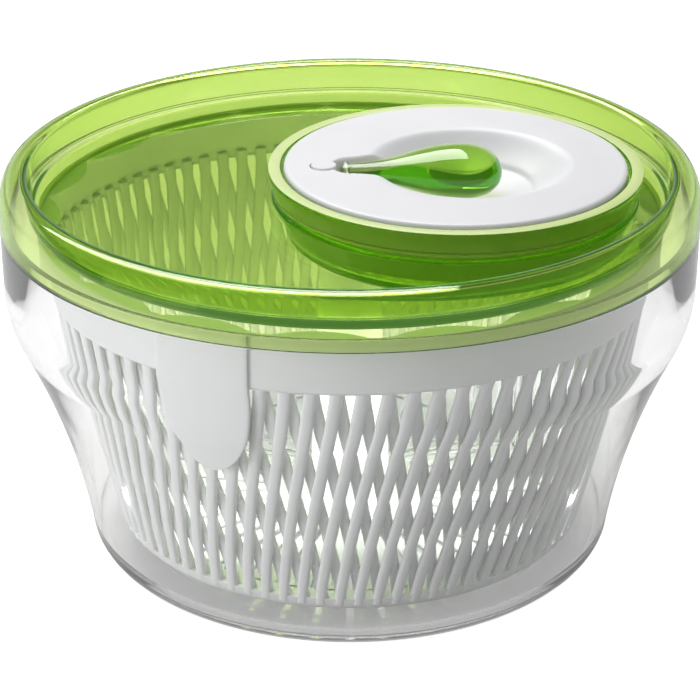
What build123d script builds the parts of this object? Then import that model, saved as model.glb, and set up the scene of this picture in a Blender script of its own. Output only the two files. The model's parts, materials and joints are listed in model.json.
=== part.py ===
"""Hand-cranked salad spinner: clear bowl, slotted basket, and a see-through lid with a geared crank wheel.

The origin is at the middle of the bowl's foot, +Z is up, and the crank wheel stands off to +X.
All sizes are in millimetres.
"""

import os
from math import acos, atan2, cos, degrees, pi, radians, sin, sqrt, tan

from build123d import *

# Fits that are shared by many pieces
RUNNING_GAP = 0.05
MOULDED_GAP = 0.3
SEAT_GAP = 0.2
OVERCUT = 1.0

# Bowl
BOWL_RADIUS = 139.5
BOWL_LEDGE_Z = 141.0
BOWL_WALL = 2.8
BOWL_BASE_RADIUS = 100.5
BOWL_FOOT_RADIUS = 109.6
BOWL_CORNER_RISE = 10.0
BOWL_WALL_LEAN = 8.4
BOWL_SHOULDER_INSET = 4.2
BOWL_SHOULDER_DROP = 44.0
BOWL_NECK_RISE = 4.2
BOWL_NECK_WALL = 2.0
FOOT_RING_WIDTH = 14.5
FOOT_RECESS_DEPTH = 1.5
PIVOT_RADIUS = 4.5
PIVOT_RISE = 22.0
PIVOT_ROOT_RADIUS = 9.0
PIVOT_ROOT_RISE = 4.5

# Lid
LID_OVERHANG = 0.1
LID_SKIRT = 2.1
LID_WALL = 2.0
LID_FLOOR_WALL = 3.6
LID_RISE = 20.2
LID_SIDE_RISE = 4.5
LID_CREST_INSET = 8.6
LID_RIM_INSET = 12.0
LID_RECESS_DEPTH = 13.6
LID_RIM_DRAFT = 1.2
LID_FLOOR_FILLET = 3.0
BOSS_GAP = 1.0
BOSS_WALL = 5.5
BOSS_DROP = 1.2
BOSS_EDGE_FILLET = 1.6
WELL_GAP = 3.0
WELL_WALL = 2.6
WELL_FLOOR_DROP = 28.0
STEP_DROP = 11.8

# Crank wheel
WHEEL_TURN = 5.0
WHEEL_MARGIN = 6.5
WHEEL_DROP = 1.2
WHEEL_PLATE = 2.6
WHEEL_EDGE_FILLET = 2.0
WHEEL_SKIRT = 2.3
DISH_RADIUS = 39.0
DISH_DEPTH = 16.0
DISH_SHIFT = 6.0
DISH_SHELL = 2.2
TAIL_DEPTH = 10.5
TAIL_RADIUS = 8.0
TAIL_REACH = 40.8
TAIL_DRAFT = 4.0
DISH_EDGE_FILLET = 2.2
HUB_RADIUS = 8.0
HUB_GAP = 1.0
POST_RADIUS = 4.0
POST_RISE = 7.0
AXLE_RADIUS = 2.0
AXLE_THREAD = 3.2
AXLE_HEAD_RADIUS = 4.2
AXLE_HEAD_HEIGHT = 2.6
AXLE_SLOT = 1.0
WASHER_RADIUS = 6.5
WASHER_THICKNESS = 1.0
GLIDE_HEIGHT = 1.2
GLIDE_WIDTH = 2.8

# Gears
GEAR_MODULE = 2.0
RING_TEETH = 56
PINION_TEETH = 14
PRESSURE_ANGLE = 20.0
BACKLASH = 0.12
RING_ADDENDUM = 1.2
ROOT_DEPTH = 2.6
RING_RIM = 3.4
RING_FACE = 12.0
RING_LIFT = 2.0
RING_LUGS = 4
RING_LUG_START = 45.0
LUG_HEIGHT = 3.0
LUG_RADIUS = 3.0
LUG_SCREW_RADIUS = 1.4
LUG_SCREW_HEAD_RADIUS = 2.4
LUG_SCREW_HEAD_HEIGHT = 1.6

# Drive from the pinion down to the basket
SHAFT_RADIUS = 4.0
SHAFT_TOP_STUB = 1.0
BUSH_WALL = 3.0
BUSH_FLANGE_RADIUS = 9.0
BUSH_FLANGE = 1.2
BUSH_LENGTH = 12.2
BUSH_BOSS_WALL = 3.4
CLIP_THICKNESS = 1.0
CLIP_RADIUS = 7.0
CLIP_GROOVE = 0.7
CLIP_MOUTH = 5.0
DOG_FLATS = 13.2
DOG_LENGTH = 18.0
DOG_NOSE = 3.0
DOG_PIN_RADIUS = 1.2
DOG_GAP = 0.4
DOG_CLIP_GAP = 1.6
PINION_LIFT = 0.3
PINION_TOP_DROP = 1.0

# Lever
LEVER_REACH = 46.5
LEVER_END = 15.6
LEVER_NECK_RADIUS = 3.0
LEVER_BULB_RADIUS = 10.2
LEVER_WIDENING = 1.62
LEVER_TILT = -1.5
LEVER_BARREL_HALF = 4.0
HINGE_REACH = 43.5
HINGE_DROP = 2.6
HINGE_PIN_RADIUS = 1.2
HINGE_LUG_WIDTH = 5.0
HINGE_LUG_LENGTH = 7.0
HINGE_LUG_DROP = 6.0
PLUG_REACH = 52.6
PLUG_RADIUS = 5.0
PLUG_RISE = 0.6
PLUG_SINK = 1.2
PLUG_EDGE_FILLET = 0.5
PLUG_STEM_RADIUS = 1.8
PLUG_STEM_DROP = 5.4
PLUG_BARB = 0.5
PLUG_BARB_HEIGHT = 2.0

# Basket
BASKET_SIDE_GAP = 9.7
BASKET_TOP_GAP = 4.0
BASKET_FLOOR_GAP = 5.7
BASKET_WALL = 2.2
BASKET_BAND = 22.0
BASKET_BAND_STEP = 1.0
BASKET_FOOT_GAP = 13.6
BASKET_CORNER = 9.0
FLANGE_DROP = 1.5
FLANGE_THICKNESS = 2.0
SCALLOPS = 18
SCALLOP_REACH = 7.6
SCALLOP_START = 15.0
RIBS = 84
RIB_TWIST = 9.2
INNER_RIB_DEPTH = 2.2
INNER_RIB_OVERLAP = 0.3
INNER_RING_RISE = 3.0
SLOT_TOP_WIDTH = 4.3
SLOT_BOTTOM_WIDTH = 3.0
SLOT_FLOOR_GAP = 7.0
FLOOR_SLOTS = 36
FLOOR_SLOT_WIDTH = 3.2
FLOOR_SLOT_START = 34.0
FLOOR_SLOT_MARGIN = 4.0
TONGUES = 2
TONGUE_ANGLE = -115.0
TONGUE_WIDTH = 37.0
TONGUE_LENGTH = 38.0
TONGUE_PROUD = 1.2
TONGUE_TIP_PROUD = 4.5
TONGUE_THICKNESS = 2.2

# Drive column, which stands in the middle of the basket
COLUMN_TOP_DROP = 2.2
COLUMN_TOP_RADIUS = 12.0
COLUMN_BASE_RADIUS = 17.0
COLUMN_WALL = 2.2
COLUMN_FLANGE_RADIUS = 22.0
COLUMN_FLANGE = 2.0
COLUMN_SPIGOT_RADIUS = 15.0
SOCKET_DEPTH = 17.0
WEB_RISE = 9.0
WEB_THICKNESS = 2.5
PIVOT_BUSH_WALL = 3.4
PIVOT_BUSH_CAP = 2.0
PIVOT_BUSH_FLANGE = 2.6
PIVOT_BUSH_FLANGE_HEIGHT = 1.5
PIVOT_BUSH_LIP = 0.4
PIVOT_BUSH_LIP_HEIGHT = 1.2
PIVOT_BOSS_WALL = 2.6

# Places that follow from the sizes above
LID_RADIUS = BOWL_RADIUS + LID_OVERHANG
LID_CREST_Z = BOWL_LEDGE_Z + LID_RISE
LID_FLOOR_Z = LID_CREST_Z - LID_RECESS_DEPTH
NECK_OUTER = LID_RADIUS - LID_SKIRT - MOULDED_GAP
NECK_INNER = NECK_OUTER - BOWL_NECK_WALL
BOWL_FLOOR_Z = FOOT_RECESS_DEPTH + BOWL_WALL
CRANK_OFFSET = GEAR_MODULE * (RING_TEETH - PINION_TEETH) / 2
RING_PITCH = GEAR_MODULE * RING_TEETH / 2
PINION_PITCH = GEAR_MODULE * PINION_TEETH / 2
RING_TIP = RING_PITCH - RING_ADDENDUM
RING_ROOT = RING_PITCH + ROOT_DEPTH
RING_OUTER = RING_ROOT + RING_RIM
WHEEL_RADIUS = RING_OUTER + WHEEL_MARGIN
WHEEL_TOP_Z = LID_CREST_Z - WHEEL_DROP
WHEEL_UNDER_Z = WHEEL_TOP_Z - WHEEL_PLATE
LUG_CIRCLE = WHEEL_RADIUS - WHEEL_SKIRT - SEAT_GAP - LUG_RADIUS
BOSS_TOP_Z = WHEEL_TOP_Z - BOSS_DROP
BOSS_BORE = WHEEL_RADIUS + BOSS_GAP
BOSS_RADIUS = BOSS_BORE + BOSS_WALL
WELL_FLOOR_Z = WHEEL_TOP_Z - WELL_FLOOR_DROP
WELL_BORE = RING_OUTER + WELL_GAP
STEP_Z = WHEEL_TOP_Z - STEP_DROP
RING_BOTTOM_Z = WELL_FLOOR_Z + RING_LIFT
SKIRT_BOTTOM_Z = STEP_Z + GLIDE_HEIGHT + SEAT_GAP
HUB_BOTTOM_Z = WELL_FLOOR_Z + HUB_GAP
POST_TOP_Z = WELL_FLOOR_Z + POST_RISE
DISH_SPHERE = (DISH_RADIUS**2 + DISH_DEPTH**2) / (2 * DISH_DEPTH)
DISH_CENTRE_Z = WHEEL_TOP_Z + DISH_SPHERE - DISH_DEPTH
BUSH_RADIUS = SHAFT_RADIUS + RUNNING_GAP + BUSH_WALL
BUSH_BOTTOM_Z = WELL_FLOOR_Z + BUSH_FLANGE - BUSH_LENGTH
PINION_BOTTOM_Z = WELL_FLOOR_Z + BUSH_FLANGE + PINION_LIFT
PINION_TOP_Z = RING_BOTTOM_Z + RING_FACE - PINION_TOP_DROP
CLIP_TOP_Z = BUSH_BOTTOM_Z - SEAT_GAP
DOG_TOP_Z = CLIP_TOP_Z - CLIP_THICKNESS - DOG_CLIP_GAP
SOCKET_FLATS = DOG_FLATS + 2 * DOG_GAP
HINGE_Z = WHEEL_TOP_Z - HINGE_DROP
BASKET_RADIUS = NECK_INNER - BASKET_SIDE_GAP
BASKET_TOP_Z = LID_FLOOR_Z - LID_FLOOR_WALL - BASKET_TOP_GAP
BASKET_FLOOR_Z = BOWL_FLOOR_Z + BASKET_FLOOR_GAP
BASKET_FLOOR_RADIUS = BOWL_FOOT_RADIUS - BASKET_FOOT_GAP
BAND_BOTTOM_Z = BASKET_TOP_Z - BASKET_BAND
COLUMN_TOP_Z = DOG_TOP_Z - COLUMN_TOP_DROP
PIVOT_TOP_Z = BOWL_FLOOR_Z + PIVOT_RISE
PIVOT_BORE = PIVOT_RADIUS + RUNNING_GAP
PIVOT_BUSH_RADIUS = PIVOT_BORE + PIVOT_BUSH_WALL
PIVOT_BUSH_TOP_Z = PIVOT_TOP_Z + SEAT_GAP + PIVOT_BUSH_CAP
PIVOT_BOSS_BORE = PIVOT_BUSH_RADIUS + RUNNING_GAP
AT_CRANK = Pos(CRANK_OFFSET, 0, 0)
AT_WHEEL = AT_CRANK * Rot(0, 0, WHEEL_TURN)
AT_HINGE = AT_WHEEL * Pos(-HINGE_REACH, 0, HINGE_Z)


def point(radius, height):
    """A point of a profile, in the XZ plane."""
    return (radius, 0, height)


def lathe(*edges):
    """Solid of revolution about the Z axis from a closed chain of edges in the XZ plane."""
    return revolve(Face(Wire(edges)), Axis.Z)


def chain(*points):
    """Straight edges from point to point."""
    return [Line(a, b) for a, b in zip(points, points[1:])]


def drum(radius, low, high):
    """Round solid on the Z axis between two heights."""
    return Pos(0, 0, low) * Cylinder(radius, high - low, align=(Align.CENTER, Align.CENTER, Align.MIN))


def tube(outer, inner, low, high):
    """Round sleeve on the Z axis between two heights."""
    return drum(outer, low, high) - drum(inner, low - OVERCUT, high + OVERCUT)


def hexagon(flats, low, high):
    """Six-sided bar on the Z axis between two heights, measured across its flats."""
    sketch = RegularPolygon(flats / 2, 6, major_radius=False)
    return extrude(Pos(0, 0, low) * sketch, high - low)


def around(count, start=0.0):
    """Evenly spaced turns about the Z axis."""
    return [Rot(0, 0, start + 360 * k / count) for k in range(count)]


# Bowl


def vessel(base, foot, shoulder, band, floor_z, foot_z, shoulder_z, top_z):
    """Solid with a rounded foot, a wall that flares outwards and a shoulder that turns upright."""
    lean_in = radians(BOWL_WALL_LEAN)
    lean_out = 2 * atan2(shoulder - foot, shoulder_z - foot_z) - lean_in
    band_z = shoulder_z + (band - shoulder) / tan(lean_out / 2)
    start, heel = point(base, floor_z), point(foot, foot_z)
    bend, turn = point(shoulder, shoulder_z), point(band, band_z)
    return lathe(
        Line(point(0, floor_z), start),
        TangentArc(start, heel, tangent=(1, 0, 0)),
        TangentArc(heel, bend, tangent=(sin(lean_in), 0, cos(lean_in))),
        TangentArc(bend, turn, tangent=(sin(lean_out), 0, cos(lean_out))),
        *chain(turn, point(band, top_z), point(0, top_z), point(0, floor_z)),
    )


def make_bowl():
    shoulder_z = BOWL_LEDGE_Z - BOWL_SHOULDER_DROP
    shoulder = BOWL_RADIUS - BOWL_SHOULDER_INSET
    neck_top_z = BOWL_LEDGE_Z + BOWL_NECK_RISE
    outside = vessel(
        BOWL_BASE_RADIUS,
        BOWL_FOOT_RADIUS,
        shoulder,
        BOWL_RADIUS,
        0,
        BOWL_CORNER_RISE,
        shoulder_z,
        BOWL_LEDGE_Z,
    )
    inside = vessel(
        BOWL_BASE_RADIUS - BOWL_WALL / 2,
        BOWL_FOOT_RADIUS - BOWL_WALL,
        shoulder - BOWL_WALL,
        NECK_INNER,
        BOWL_FLOOR_Z,
        BOWL_CORNER_RISE + BOWL_WALL,
        shoulder_z,
        neck_top_z + OVERCUT,
    )
    pivot_side = point(PIVOT_RADIUS, PIVOT_TOP_Z - PIVOT_RADIUS)
    pivot = lathe(
        *chain(
            point(0, BOWL_FLOOR_Z - BOWL_WALL / 2),
            point(PIVOT_ROOT_RADIUS, BOWL_FLOOR_Z - BOWL_WALL / 2),
            point(PIVOT_ROOT_RADIUS, BOWL_FLOOR_Z),
            point(PIVOT_RADIUS, BOWL_FLOOR_Z + PIVOT_ROOT_RISE),
            pivot_side,
        ),
        TangentArc(pivot_side, point(0, PIVOT_TOP_Z), tangent=(0, 0, 1)),
        Line(point(0, PIVOT_TOP_Z), point(0, BOWL_FLOOR_Z - BOWL_WALL / 2)),
    )
    neck = drum(NECK_OUTER, BOWL_LEDGE_Z - OVERCUT, neck_top_z)
    foot_recess = drum(BOWL_BASE_RADIUS - FOOT_RING_WIDTH, -OVERCUT, FOOT_RECESS_DEPTH)
    return outside + neck - inside + pivot - foot_recess


# Lid


def rim_section():
    """The lid's raised rim and floor: up the side, over the crest, down into the recess and back below."""
    crest = LID_RADIUS - LID_CREST_INSET
    rim_top = LID_RADIUS - LID_RIM_INSET
    rim_foot = rim_top - LID_RIM_DRAFT
    side_z = BOWL_LEDGE_Z + LID_SIDE_RISE
    rim_z = LID_CREST_Z - LID_WALL
    under_z = LID_FLOOR_Z - LID_FLOOR_WALL
    inner_side = LID_RADIUS - LID_SKIRT
    foot_z = LID_FLOOR_Z + LID_FLOOR_FILLET
    floor_edge = rim_foot - LID_FLOOR_FILLET
    under_crest = LID_CREST_Z - LID_WALL
    return [
        Line(point(LID_RADIUS, BOWL_LEDGE_Z), point(LID_RADIUS, side_z)),
        Bezier(point(LID_RADIUS, side_z), point(LID_RADIUS, LID_CREST_Z), point(crest, LID_CREST_Z)),
        Bezier(point(crest, LID_CREST_Z), point(rim_top, LID_CREST_Z), point(rim_top, rim_z)),
        Line(point(rim_top, rim_z), point(rim_foot, foot_z)),
        Bezier(point(rim_foot, foot_z), point(rim_foot, LID_FLOOR_Z), point(floor_edge, LID_FLOOR_Z)),
        *chain(
            point(floor_edge, LID_FLOOR_Z),
            point(0, LID_FLOOR_Z),
            point(0, under_z),
            point(floor_edge + LID_WALL / 2, under_z),
        ),
        Bezier(
            point(floor_edge + LID_WALL / 2, under_z),
            point(rim_foot + LID_WALL, under_z),
            point(rim_foot + LID_WALL, foot_z),
        ),
        Line(point(rim_foot + LID_WALL, foot_z), point(rim_top + LID_WALL, rim_z - LID_WALL / 2)),
        Bezier(
            point(rim_top + LID_WALL, rim_z - LID_WALL / 2),
            point(rim_top + LID_WALL, under_crest),
            point(crest, under_crest),
        ),
        Bezier(point(crest, under_crest), point(inner_side, under_crest), point(inner_side, side_z)),
        *chain(point(inner_side, side_z), point(inner_side, BOWL_LEDGE_Z), point(LID_RADIUS, BOWL_LEDGE_Z)),
    ]


def boss_and_well():
    """Leaning wall round the crank wheel, from the lip beside the wheel down to the gear well's floor."""
    bottom_z = WELL_FLOOR_Z - WELL_WALL
    body = lathe(
        *chain(
            point(0, bottom_z),
            point(WELL_BORE + WELL_WALL, bottom_z),
            point(BOSS_RADIUS, BOSS_TOP_Z),
            point(0, BOSS_TOP_Z),
            point(0, bottom_z),
        )
    )
    return fillet(body.edges().group_by(Axis.Z)[-1], BOSS_EDGE_FILLET)


def make_lid():
    lid = lathe(*rim_section()) + AT_CRANK * boss_and_well()
    lid += drum(BUSH_RADIUS + BUSH_BOSS_WALL, BUSH_BOTTOM_Z, WELL_FLOOR_Z)
    lid -= AT_CRANK * drum(BOSS_BORE, STEP_Z, WHEEL_TOP_Z + OVERCUT)
    lid -= AT_CRANK * drum(WELL_BORE, WELL_FLOOR_Z, WHEEL_TOP_Z + OVERCUT)
    lid += AT_CRANK * drum(POST_RADIUS - RUNNING_GAP, WELL_FLOOR_Z - OVERCUT, POST_TOP_Z)
    lid -= AT_CRANK * drum(AXLE_RADIUS + RUNNING_GAP, BUSH_BOTTOM_Z, POST_TOP_Z + OVERCUT)
    lid -= drum(BUSH_RADIUS, BUSH_BOTTOM_Z - OVERCUT, WELL_FLOOR_Z + OVERCUT)
    return lid


def make_shaft_bush():
    sleeve = drum(BUSH_RADIUS, BUSH_BOTTOM_Z, WELL_FLOOR_Z)
    flange = drum(BUSH_FLANGE_RADIUS, WELL_FLOOR_Z, WELL_FLOOR_Z + BUSH_FLANGE)
    bore = drum(SHAFT_RADIUS + RUNNING_GAP, BUSH_BOTTOM_Z - OVERCUT, WELL_FLOOR_Z + BUSH_FLANGE + OVERCUT)
    return sleeve + flange - bore


def make_glide_ring():
    outer = BOSS_BORE - MOULDED_GAP
    return AT_CRANK * tube(outer, outer - GLIDE_WIDTH, STEP_Z, STEP_Z + GLIDE_HEIGHT)


# Gears


def polar(radius, angle):
    return Vector(radius * cos(angle), radius * sin(angle))


def gear_sketch(teeth, tip, root, thicken):
    """Involute teeth on a full disc: half a tooth's angle at a radius follows from its pitch circle."""
    pitch = GEAR_MODULE * teeth / 2
    base = pitch * cos(radians(PRESSURE_ANGLE))

    def involute(radius):
        slope = acos(min(1.0, base / radius))
        return tan(slope) - slope

    def half_angle(radius):
        return pi / (2 * teeth) + thicken / pitch + involute(pitch) - involute(radius)

    start = max(base, root)
    middle = (start + tip) / 2
    step = 2 * pi / teeth
    edges = []
    for k in range(teeth):
        turn = k * step
        rise = [polar(r, turn - half_angle(r)) for r in (start, middle, tip)]
        fall = [polar(r, turn + half_angle(r)) for r in (tip, middle, start)]
        gap_start = polar(root, turn + half_angle(start))
        gap_end = polar(root, turn + step - half_angle(start))
        if root < start:
            edges.append(Line(polar(root, turn - half_angle(start)), rise[0]))
        edges.append(ThreePointArc(*rise))
        edges.append(ThreePointArc(rise[2], polar(tip, turn), fall[0]))
        edges.append(ThreePointArc(*fall))
        if root < start:
            edges.append(Line(fall[2], gap_start))
        edges.append(ThreePointArc(gap_start, polar(root, turn + step / 2), gap_end))
    return Face(Wire(edges))


def lug_places():
    """Where the ring gear's screw lugs stand, on a circle between the gear and the wheel's skirt."""
    return [turn * Pos(LUG_CIRCLE, 0, 0) for turn in around(RING_LUGS, RING_LUG_START)]


def make_ring_gear():
    space = gear_sketch(RING_TEETH, RING_ROOT, RING_TIP, BACKLASH)
    top_z = RING_BOTTOM_Z + RING_FACE
    low_z = WHEEL_UNDER_Z - LUG_HEIGHT
    teeth = extrude(Pos(0, 0, RING_BOTTOM_Z) * (Circle(RING_OUTER) - space), RING_FACE)
    wall = tube(RING_ROOT + RING_RIM / 2, RING_ROOT, top_z, low_z)
    plan = Circle(RING_OUTER) + [place * Circle(LUG_RADIUS) for place in lug_places()]
    plan -= Circle(RING_ROOT)
    plan -= [place * Circle(LUG_SCREW_RADIUS) for place in lug_places()]
    lugs = extrude(Pos(0, 0, low_z) * plan, LUG_HEIGHT)
    return AT_CRANK * (teeth + wall + lugs)


def make_gear_screws():
    low_z = WHEEL_UNDER_Z - LUG_HEIGHT
    screws = []
    for place in lug_places():
        shank = drum(LUG_SCREW_RADIUS, low_z, WHEEL_UNDER_Z + WHEEL_PLATE / 2)
        head = drum(LUG_SCREW_HEAD_RADIUS, low_z - LUG_SCREW_HEAD_HEIGHT, low_z)
        screws.append(AT_CRANK * place * (shank + head))
    return Compound(children=screws)


def make_pinion():
    tip = PINION_PITCH + GEAR_MODULE
    face = gear_sketch(PINION_TEETH, tip, PINION_PITCH - ROOT_DEPTH, -BACKLASH)
    gear = extrude(Pos(0, 0, PINION_BOTTOM_Z) * face, PINION_TOP_Z - PINION_BOTTOM_Z)
    return gear - drum(SHAFT_RADIUS, PINION_BOTTOM_Z - OVERCUT, PINION_TOP_Z + OVERCUT)


# Crank wheel and its folding lever


def tail_outline(grow, depth):
    """Face of the trough at a depth below the wheel's top: two circles and the lines that touch both."""
    sink = DISH_DEPTH - TAIL_DEPTH
    grow -= depth * tan(radians(TAIL_DRAFT))
    wide = sqrt(2 * DISH_SPHERE * sink - sink**2) + grow
    slim = TAIL_RADIUS + grow
    lean = (slim - wide) / (DISH_SHIFT + TAIL_REACH)
    side = sqrt(1 - lean**2)
    z = WHEEL_TOP_Z - depth
    wide_x, wide_y = DISH_SHIFT + wide * lean, wide * side
    slim_x, slim_y = slim * lean - TAIL_REACH, slim * side
    wide_left, wide_right = (wide_x, wide_y, z), (wide_x, -wide_y, z)
    slim_left, slim_right = (slim_x, slim_y, z), (slim_x, -slim_y, z)
    outline = [
        ThreePointArc(wide_right, (DISH_SHIFT + wide, 0, z), wide_left),
        Line(wide_left, slim_left),
        ThreePointArc(slim_left, (-TAIL_REACH - slim, 0, z), slim_right),
        Line(slim_right, wide_right),
    ]
    return Face(Wire(outline))


def tail_cavity(grow, depth):
    """Trough from the round dish to the lever's hinge, its walls drawn in towards its floor."""
    return loft([tail_outline(grow, 0), tail_outline(grow, depth)], ruled=True)


def dish_ball(grow):
    return Pos(DISH_SHIFT, 0, DISH_CENTRE_Z) * Sphere(DISH_SPHERE + grow)


def hinge_lugs():
    to_plate = (Align.CENTER, Align.MIN, Align.MAX)
    lug = Box(HINGE_LUG_LENGTH, HINGE_LUG_WIDTH, HINGE_LUG_DROP, align=to_plate)
    lug = Pos(-HINGE_REACH, TAIL_RADIUS, WHEEL_UNDER_Z) * lug
    return lug + mirror(lug, Plane.XZ)


def hinge_half():
    """Half the hinge pin's length: from the middle of the trough to just short of a lug's far side."""
    return TAIL_RADIUS + HINGE_LUG_WIDTH - SEAT_GAP


def make_crank_wheel():
    plate = drum(WHEEL_RADIUS, SKIRT_BOTTOM_Z, WHEEL_TOP_Z)
    plate = fillet(plate.edges().group_by(Axis.Z)[-1], WHEEL_EDGE_FILLET)
    hollow = drum(WHEEL_RADIUS - WHEEL_SKIRT, SKIRT_BOTTOM_Z - OVERCUT, WHEEL_UNDER_Z)
    below = drum(RING_TIP - DISH_SHELL, HUB_BOTTOM_Z, WHEEL_UNDER_Z)
    shell = dish_ball(DISH_SHELL) + tail_cavity(DISH_SHELL, TAIL_DEPTH + DISH_SHELL)
    hub = drum(HUB_RADIUS, HUB_BOTTOM_Z, WHEEL_TOP_Z - DISH_DEPTH)
    wheel = plate - hollow + (shell & below) + hinge_lugs() + hub
    wheel -= dish_ball(0) & drum(RING_TIP, HUB_BOTTOM_Z, WHEEL_TOP_Z + OVERCUT)
    wheel -= tail_cavity(0, TAIL_DEPTH)
    top_edges = wheel.edges().filter_by_position(Axis.Z, WHEEL_TOP_Z, WHEEL_TOP_Z)
    wheel = fillet(top_edges.sort_by(SortBy.LENGTH)[:-1], DISH_EDGE_FILLET)
    wheel -= drum(POST_RADIUS, HUB_BOTTOM_Z - OVERCUT, POST_TOP_Z + SEAT_GAP)
    wheel -= drum(AXLE_RADIUS, POST_TOP_Z, POST_TOP_Z + SEAT_GAP + AXLE_THREAD)
    plug_seat = drum(PLUG_RADIUS + MOULDED_GAP, WHEEL_TOP_Z - PLUG_SINK, WHEEL_TOP_Z + OVERCUT)
    plug_hole = drum(PLUG_STEM_RADIUS, WHEEL_UNDER_Z - OVERCUT, WHEEL_TOP_Z)
    plug_low_z = WHEEL_UNDER_Z - PLUG_STEM_DROP - OVERCUT
    plug_room = drum(PLUG_STEM_RADIUS + PLUG_BARB + MOULDED_GAP, plug_low_z, WHEEL_UNDER_Z)
    wheel -= Pos(-PLUG_REACH, 0, 0) * (plug_seat + plug_hole + plug_room)
    wheel -= Pos(-HINGE_REACH, 0, HINGE_Z) * Rot(90, 0, 0) * Cylinder(HINGE_PIN_RADIUS, 4 * hinge_half())
    wheel = AT_WHEEL * wheel
    for place in lug_places():
        hole = drum(LUG_SCREW_RADIUS, WHEEL_UNDER_Z - OVERCUT, WHEEL_UNDER_Z + WHEEL_PLATE / 2)
        wheel -= AT_CRANK * place * hole
    return wheel


def make_hinge_pin():
    return AT_HINGE * Rot(90, 0, 0) * Cylinder(HINGE_PIN_RADIUS, 2 * hinge_half())


def make_hinge_plug():
    seat_z = WHEEL_TOP_Z - PLUG_SINK
    stem_z = WHEEL_UNDER_Z - PLUG_STEM_DROP
    head = drum(PLUG_RADIUS, seat_z, WHEEL_TOP_Z + PLUG_RISE)
    head = fillet(head.edges().group_by(Axis.Z)[-1], PLUG_EDGE_FILLET)
    stem = drum(PLUG_STEM_RADIUS, stem_z, seat_z)
    barb_radius = PLUG_STEM_RADIUS + PLUG_BARB
    standing = (Align.CENTER, Align.CENTER, Align.MIN)
    barb = Pos(0, 0, stem_z) * Cone(PLUG_STEM_RADIUS, barb_radius, PLUG_BARB_HEIGHT, align=standing)
    return AT_WHEEL * Pos(-PLUG_REACH, 0, 0) * (head + stem + barb)


def make_lever():
    """Drop-shaped lever: a slim neck that swells into a flattened bulb, on a hinge barrel."""
    neck, bulb = LEVER_NECK_RADIUS, LEVER_BULB_RADIUS
    end = LEVER_REACH + LEVER_END
    heel, shoulder = (-neck, 0, 0), (LEVER_REACH, 0, bulb)
    outline = [
        TangentArc(heel, (0, 0, neck), tangent=(0, 0, 1)),
        Bezier((0, 0, neck), (LEVER_REACH * 0.45, 0, neck), (LEVER_REACH * 0.6, 0, bulb), shoulder),
        Bezier(shoulder, (LEVER_REACH + LEVER_END * 0.6, 0, bulb), (end, 0, bulb * 0.6), (end, 0, 0)),
        Line((end, 0, 0), heel),
    ]
    drop = scale(revolve(Face(Wire(outline)), Axis.X), by=(1, LEVER_WIDENING, 1))
    barrel = Rot(90, 0, 0) * Cylinder(neck + MOULDED_GAP, 2 * LEVER_BARREL_HALF)
    lever = Rot(0, -LEVER_TILT, 0) * drop + barrel
    lever -= Rot(90, 0, 0) * Cylinder(HINGE_PIN_RADIUS + RUNNING_GAP, 4 * LEVER_BARREL_HALF)
    return AT_HINGE * lever


def make_axle_screw():
    low_z = WELL_FLOOR_Z - WELL_WALL - WASHER_THICKNESS - SEAT_GAP
    shank = drum(AXLE_RADIUS, low_z, POST_TOP_Z + SEAT_GAP + AXLE_THREAD)
    head = drum(AXLE_HEAD_RADIUS, low_z - AXLE_HEAD_HEIGHT, low_z)
    head = fillet(head.edges().group_by(Axis.Z)[0], AXLE_HEAD_HEIGHT / 3)
    slot = Pos(0, 0, low_z - AXLE_HEAD_HEIGHT) * Box(3 * AXLE_HEAD_RADIUS, AXLE_SLOT, AXLE_HEAD_HEIGHT)
    return AT_CRANK * (shank + head - slot)


def make_axle_washer():
    low_z = WELL_FLOOR_Z - WELL_WALL - WASHER_THICKNESS - SEAT_GAP
    return AT_CRANK * tube(WASHER_RADIUS, AXLE_RADIUS, low_z, low_z + WASHER_THICKNESS)


# Drive shaft


def make_drive_shaft():
    bottom_z = DOG_TOP_Z - DOG_LENGTH + DOG_NOSE
    shaft = drum(SHAFT_RADIUS, bottom_z, PINION_TOP_Z + SHAFT_TOP_STUB)
    groove_z = CLIP_TOP_Z - CLIP_THICKNESS
    shaft -= tube(SHAFT_RADIUS + OVERCUT, SHAFT_RADIUS - CLIP_GROOVE, groove_z, CLIP_TOP_Z)
    return shaft - dog_pin_bore(SHAFT_RADIUS)


def dog_pin_bore(half):
    middle_z = DOG_TOP_Z - DOG_NOSE
    return Pos(0, 0, middle_z) * Rot(90, 0, 0) * Cylinder(DOG_PIN_RADIUS, 2 * half + OVERCUT)


def make_shaft_clip():
    low_z = CLIP_TOP_Z - CLIP_THICKNESS
    clip = tube(CLIP_RADIUS, SHAFT_RADIUS - CLIP_GROOVE, low_z, CLIP_TOP_Z)
    to_side = (Align.MIN, Align.CENTER, Align.CENTER)
    mouth = Box(CLIP_RADIUS + OVERCUT, CLIP_MOUTH, 3 * CLIP_THICKNESS, align=to_side)
    return clip - Pos(0, 0, low_z) * mouth


def make_drive_dog():
    bottom_z = DOG_TOP_Z - DOG_LENGTH
    bar = hexagon(DOG_FLATS, bottom_z, DOG_TOP_Z)
    corner = DOG_FLATS / sqrt(3)
    cone = lathe(
        *chain(
            point(0, bottom_z),
            point(corner - DOG_NOSE / 2, bottom_z),
            point(corner + OVERCUT, bottom_z + 2 * DOG_NOSE),
            point(corner + OVERCUT, DOG_TOP_Z),
            point(0, DOG_TOP_Z),
            point(0, bottom_z),
        )
    )
    dog = (bar & cone) - drum(SHAFT_RADIUS, bottom_z + DOG_NOSE, DOG_TOP_Z + OVERCUT)
    return dog - dog_pin_bore(DOG_FLATS / 2)


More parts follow.
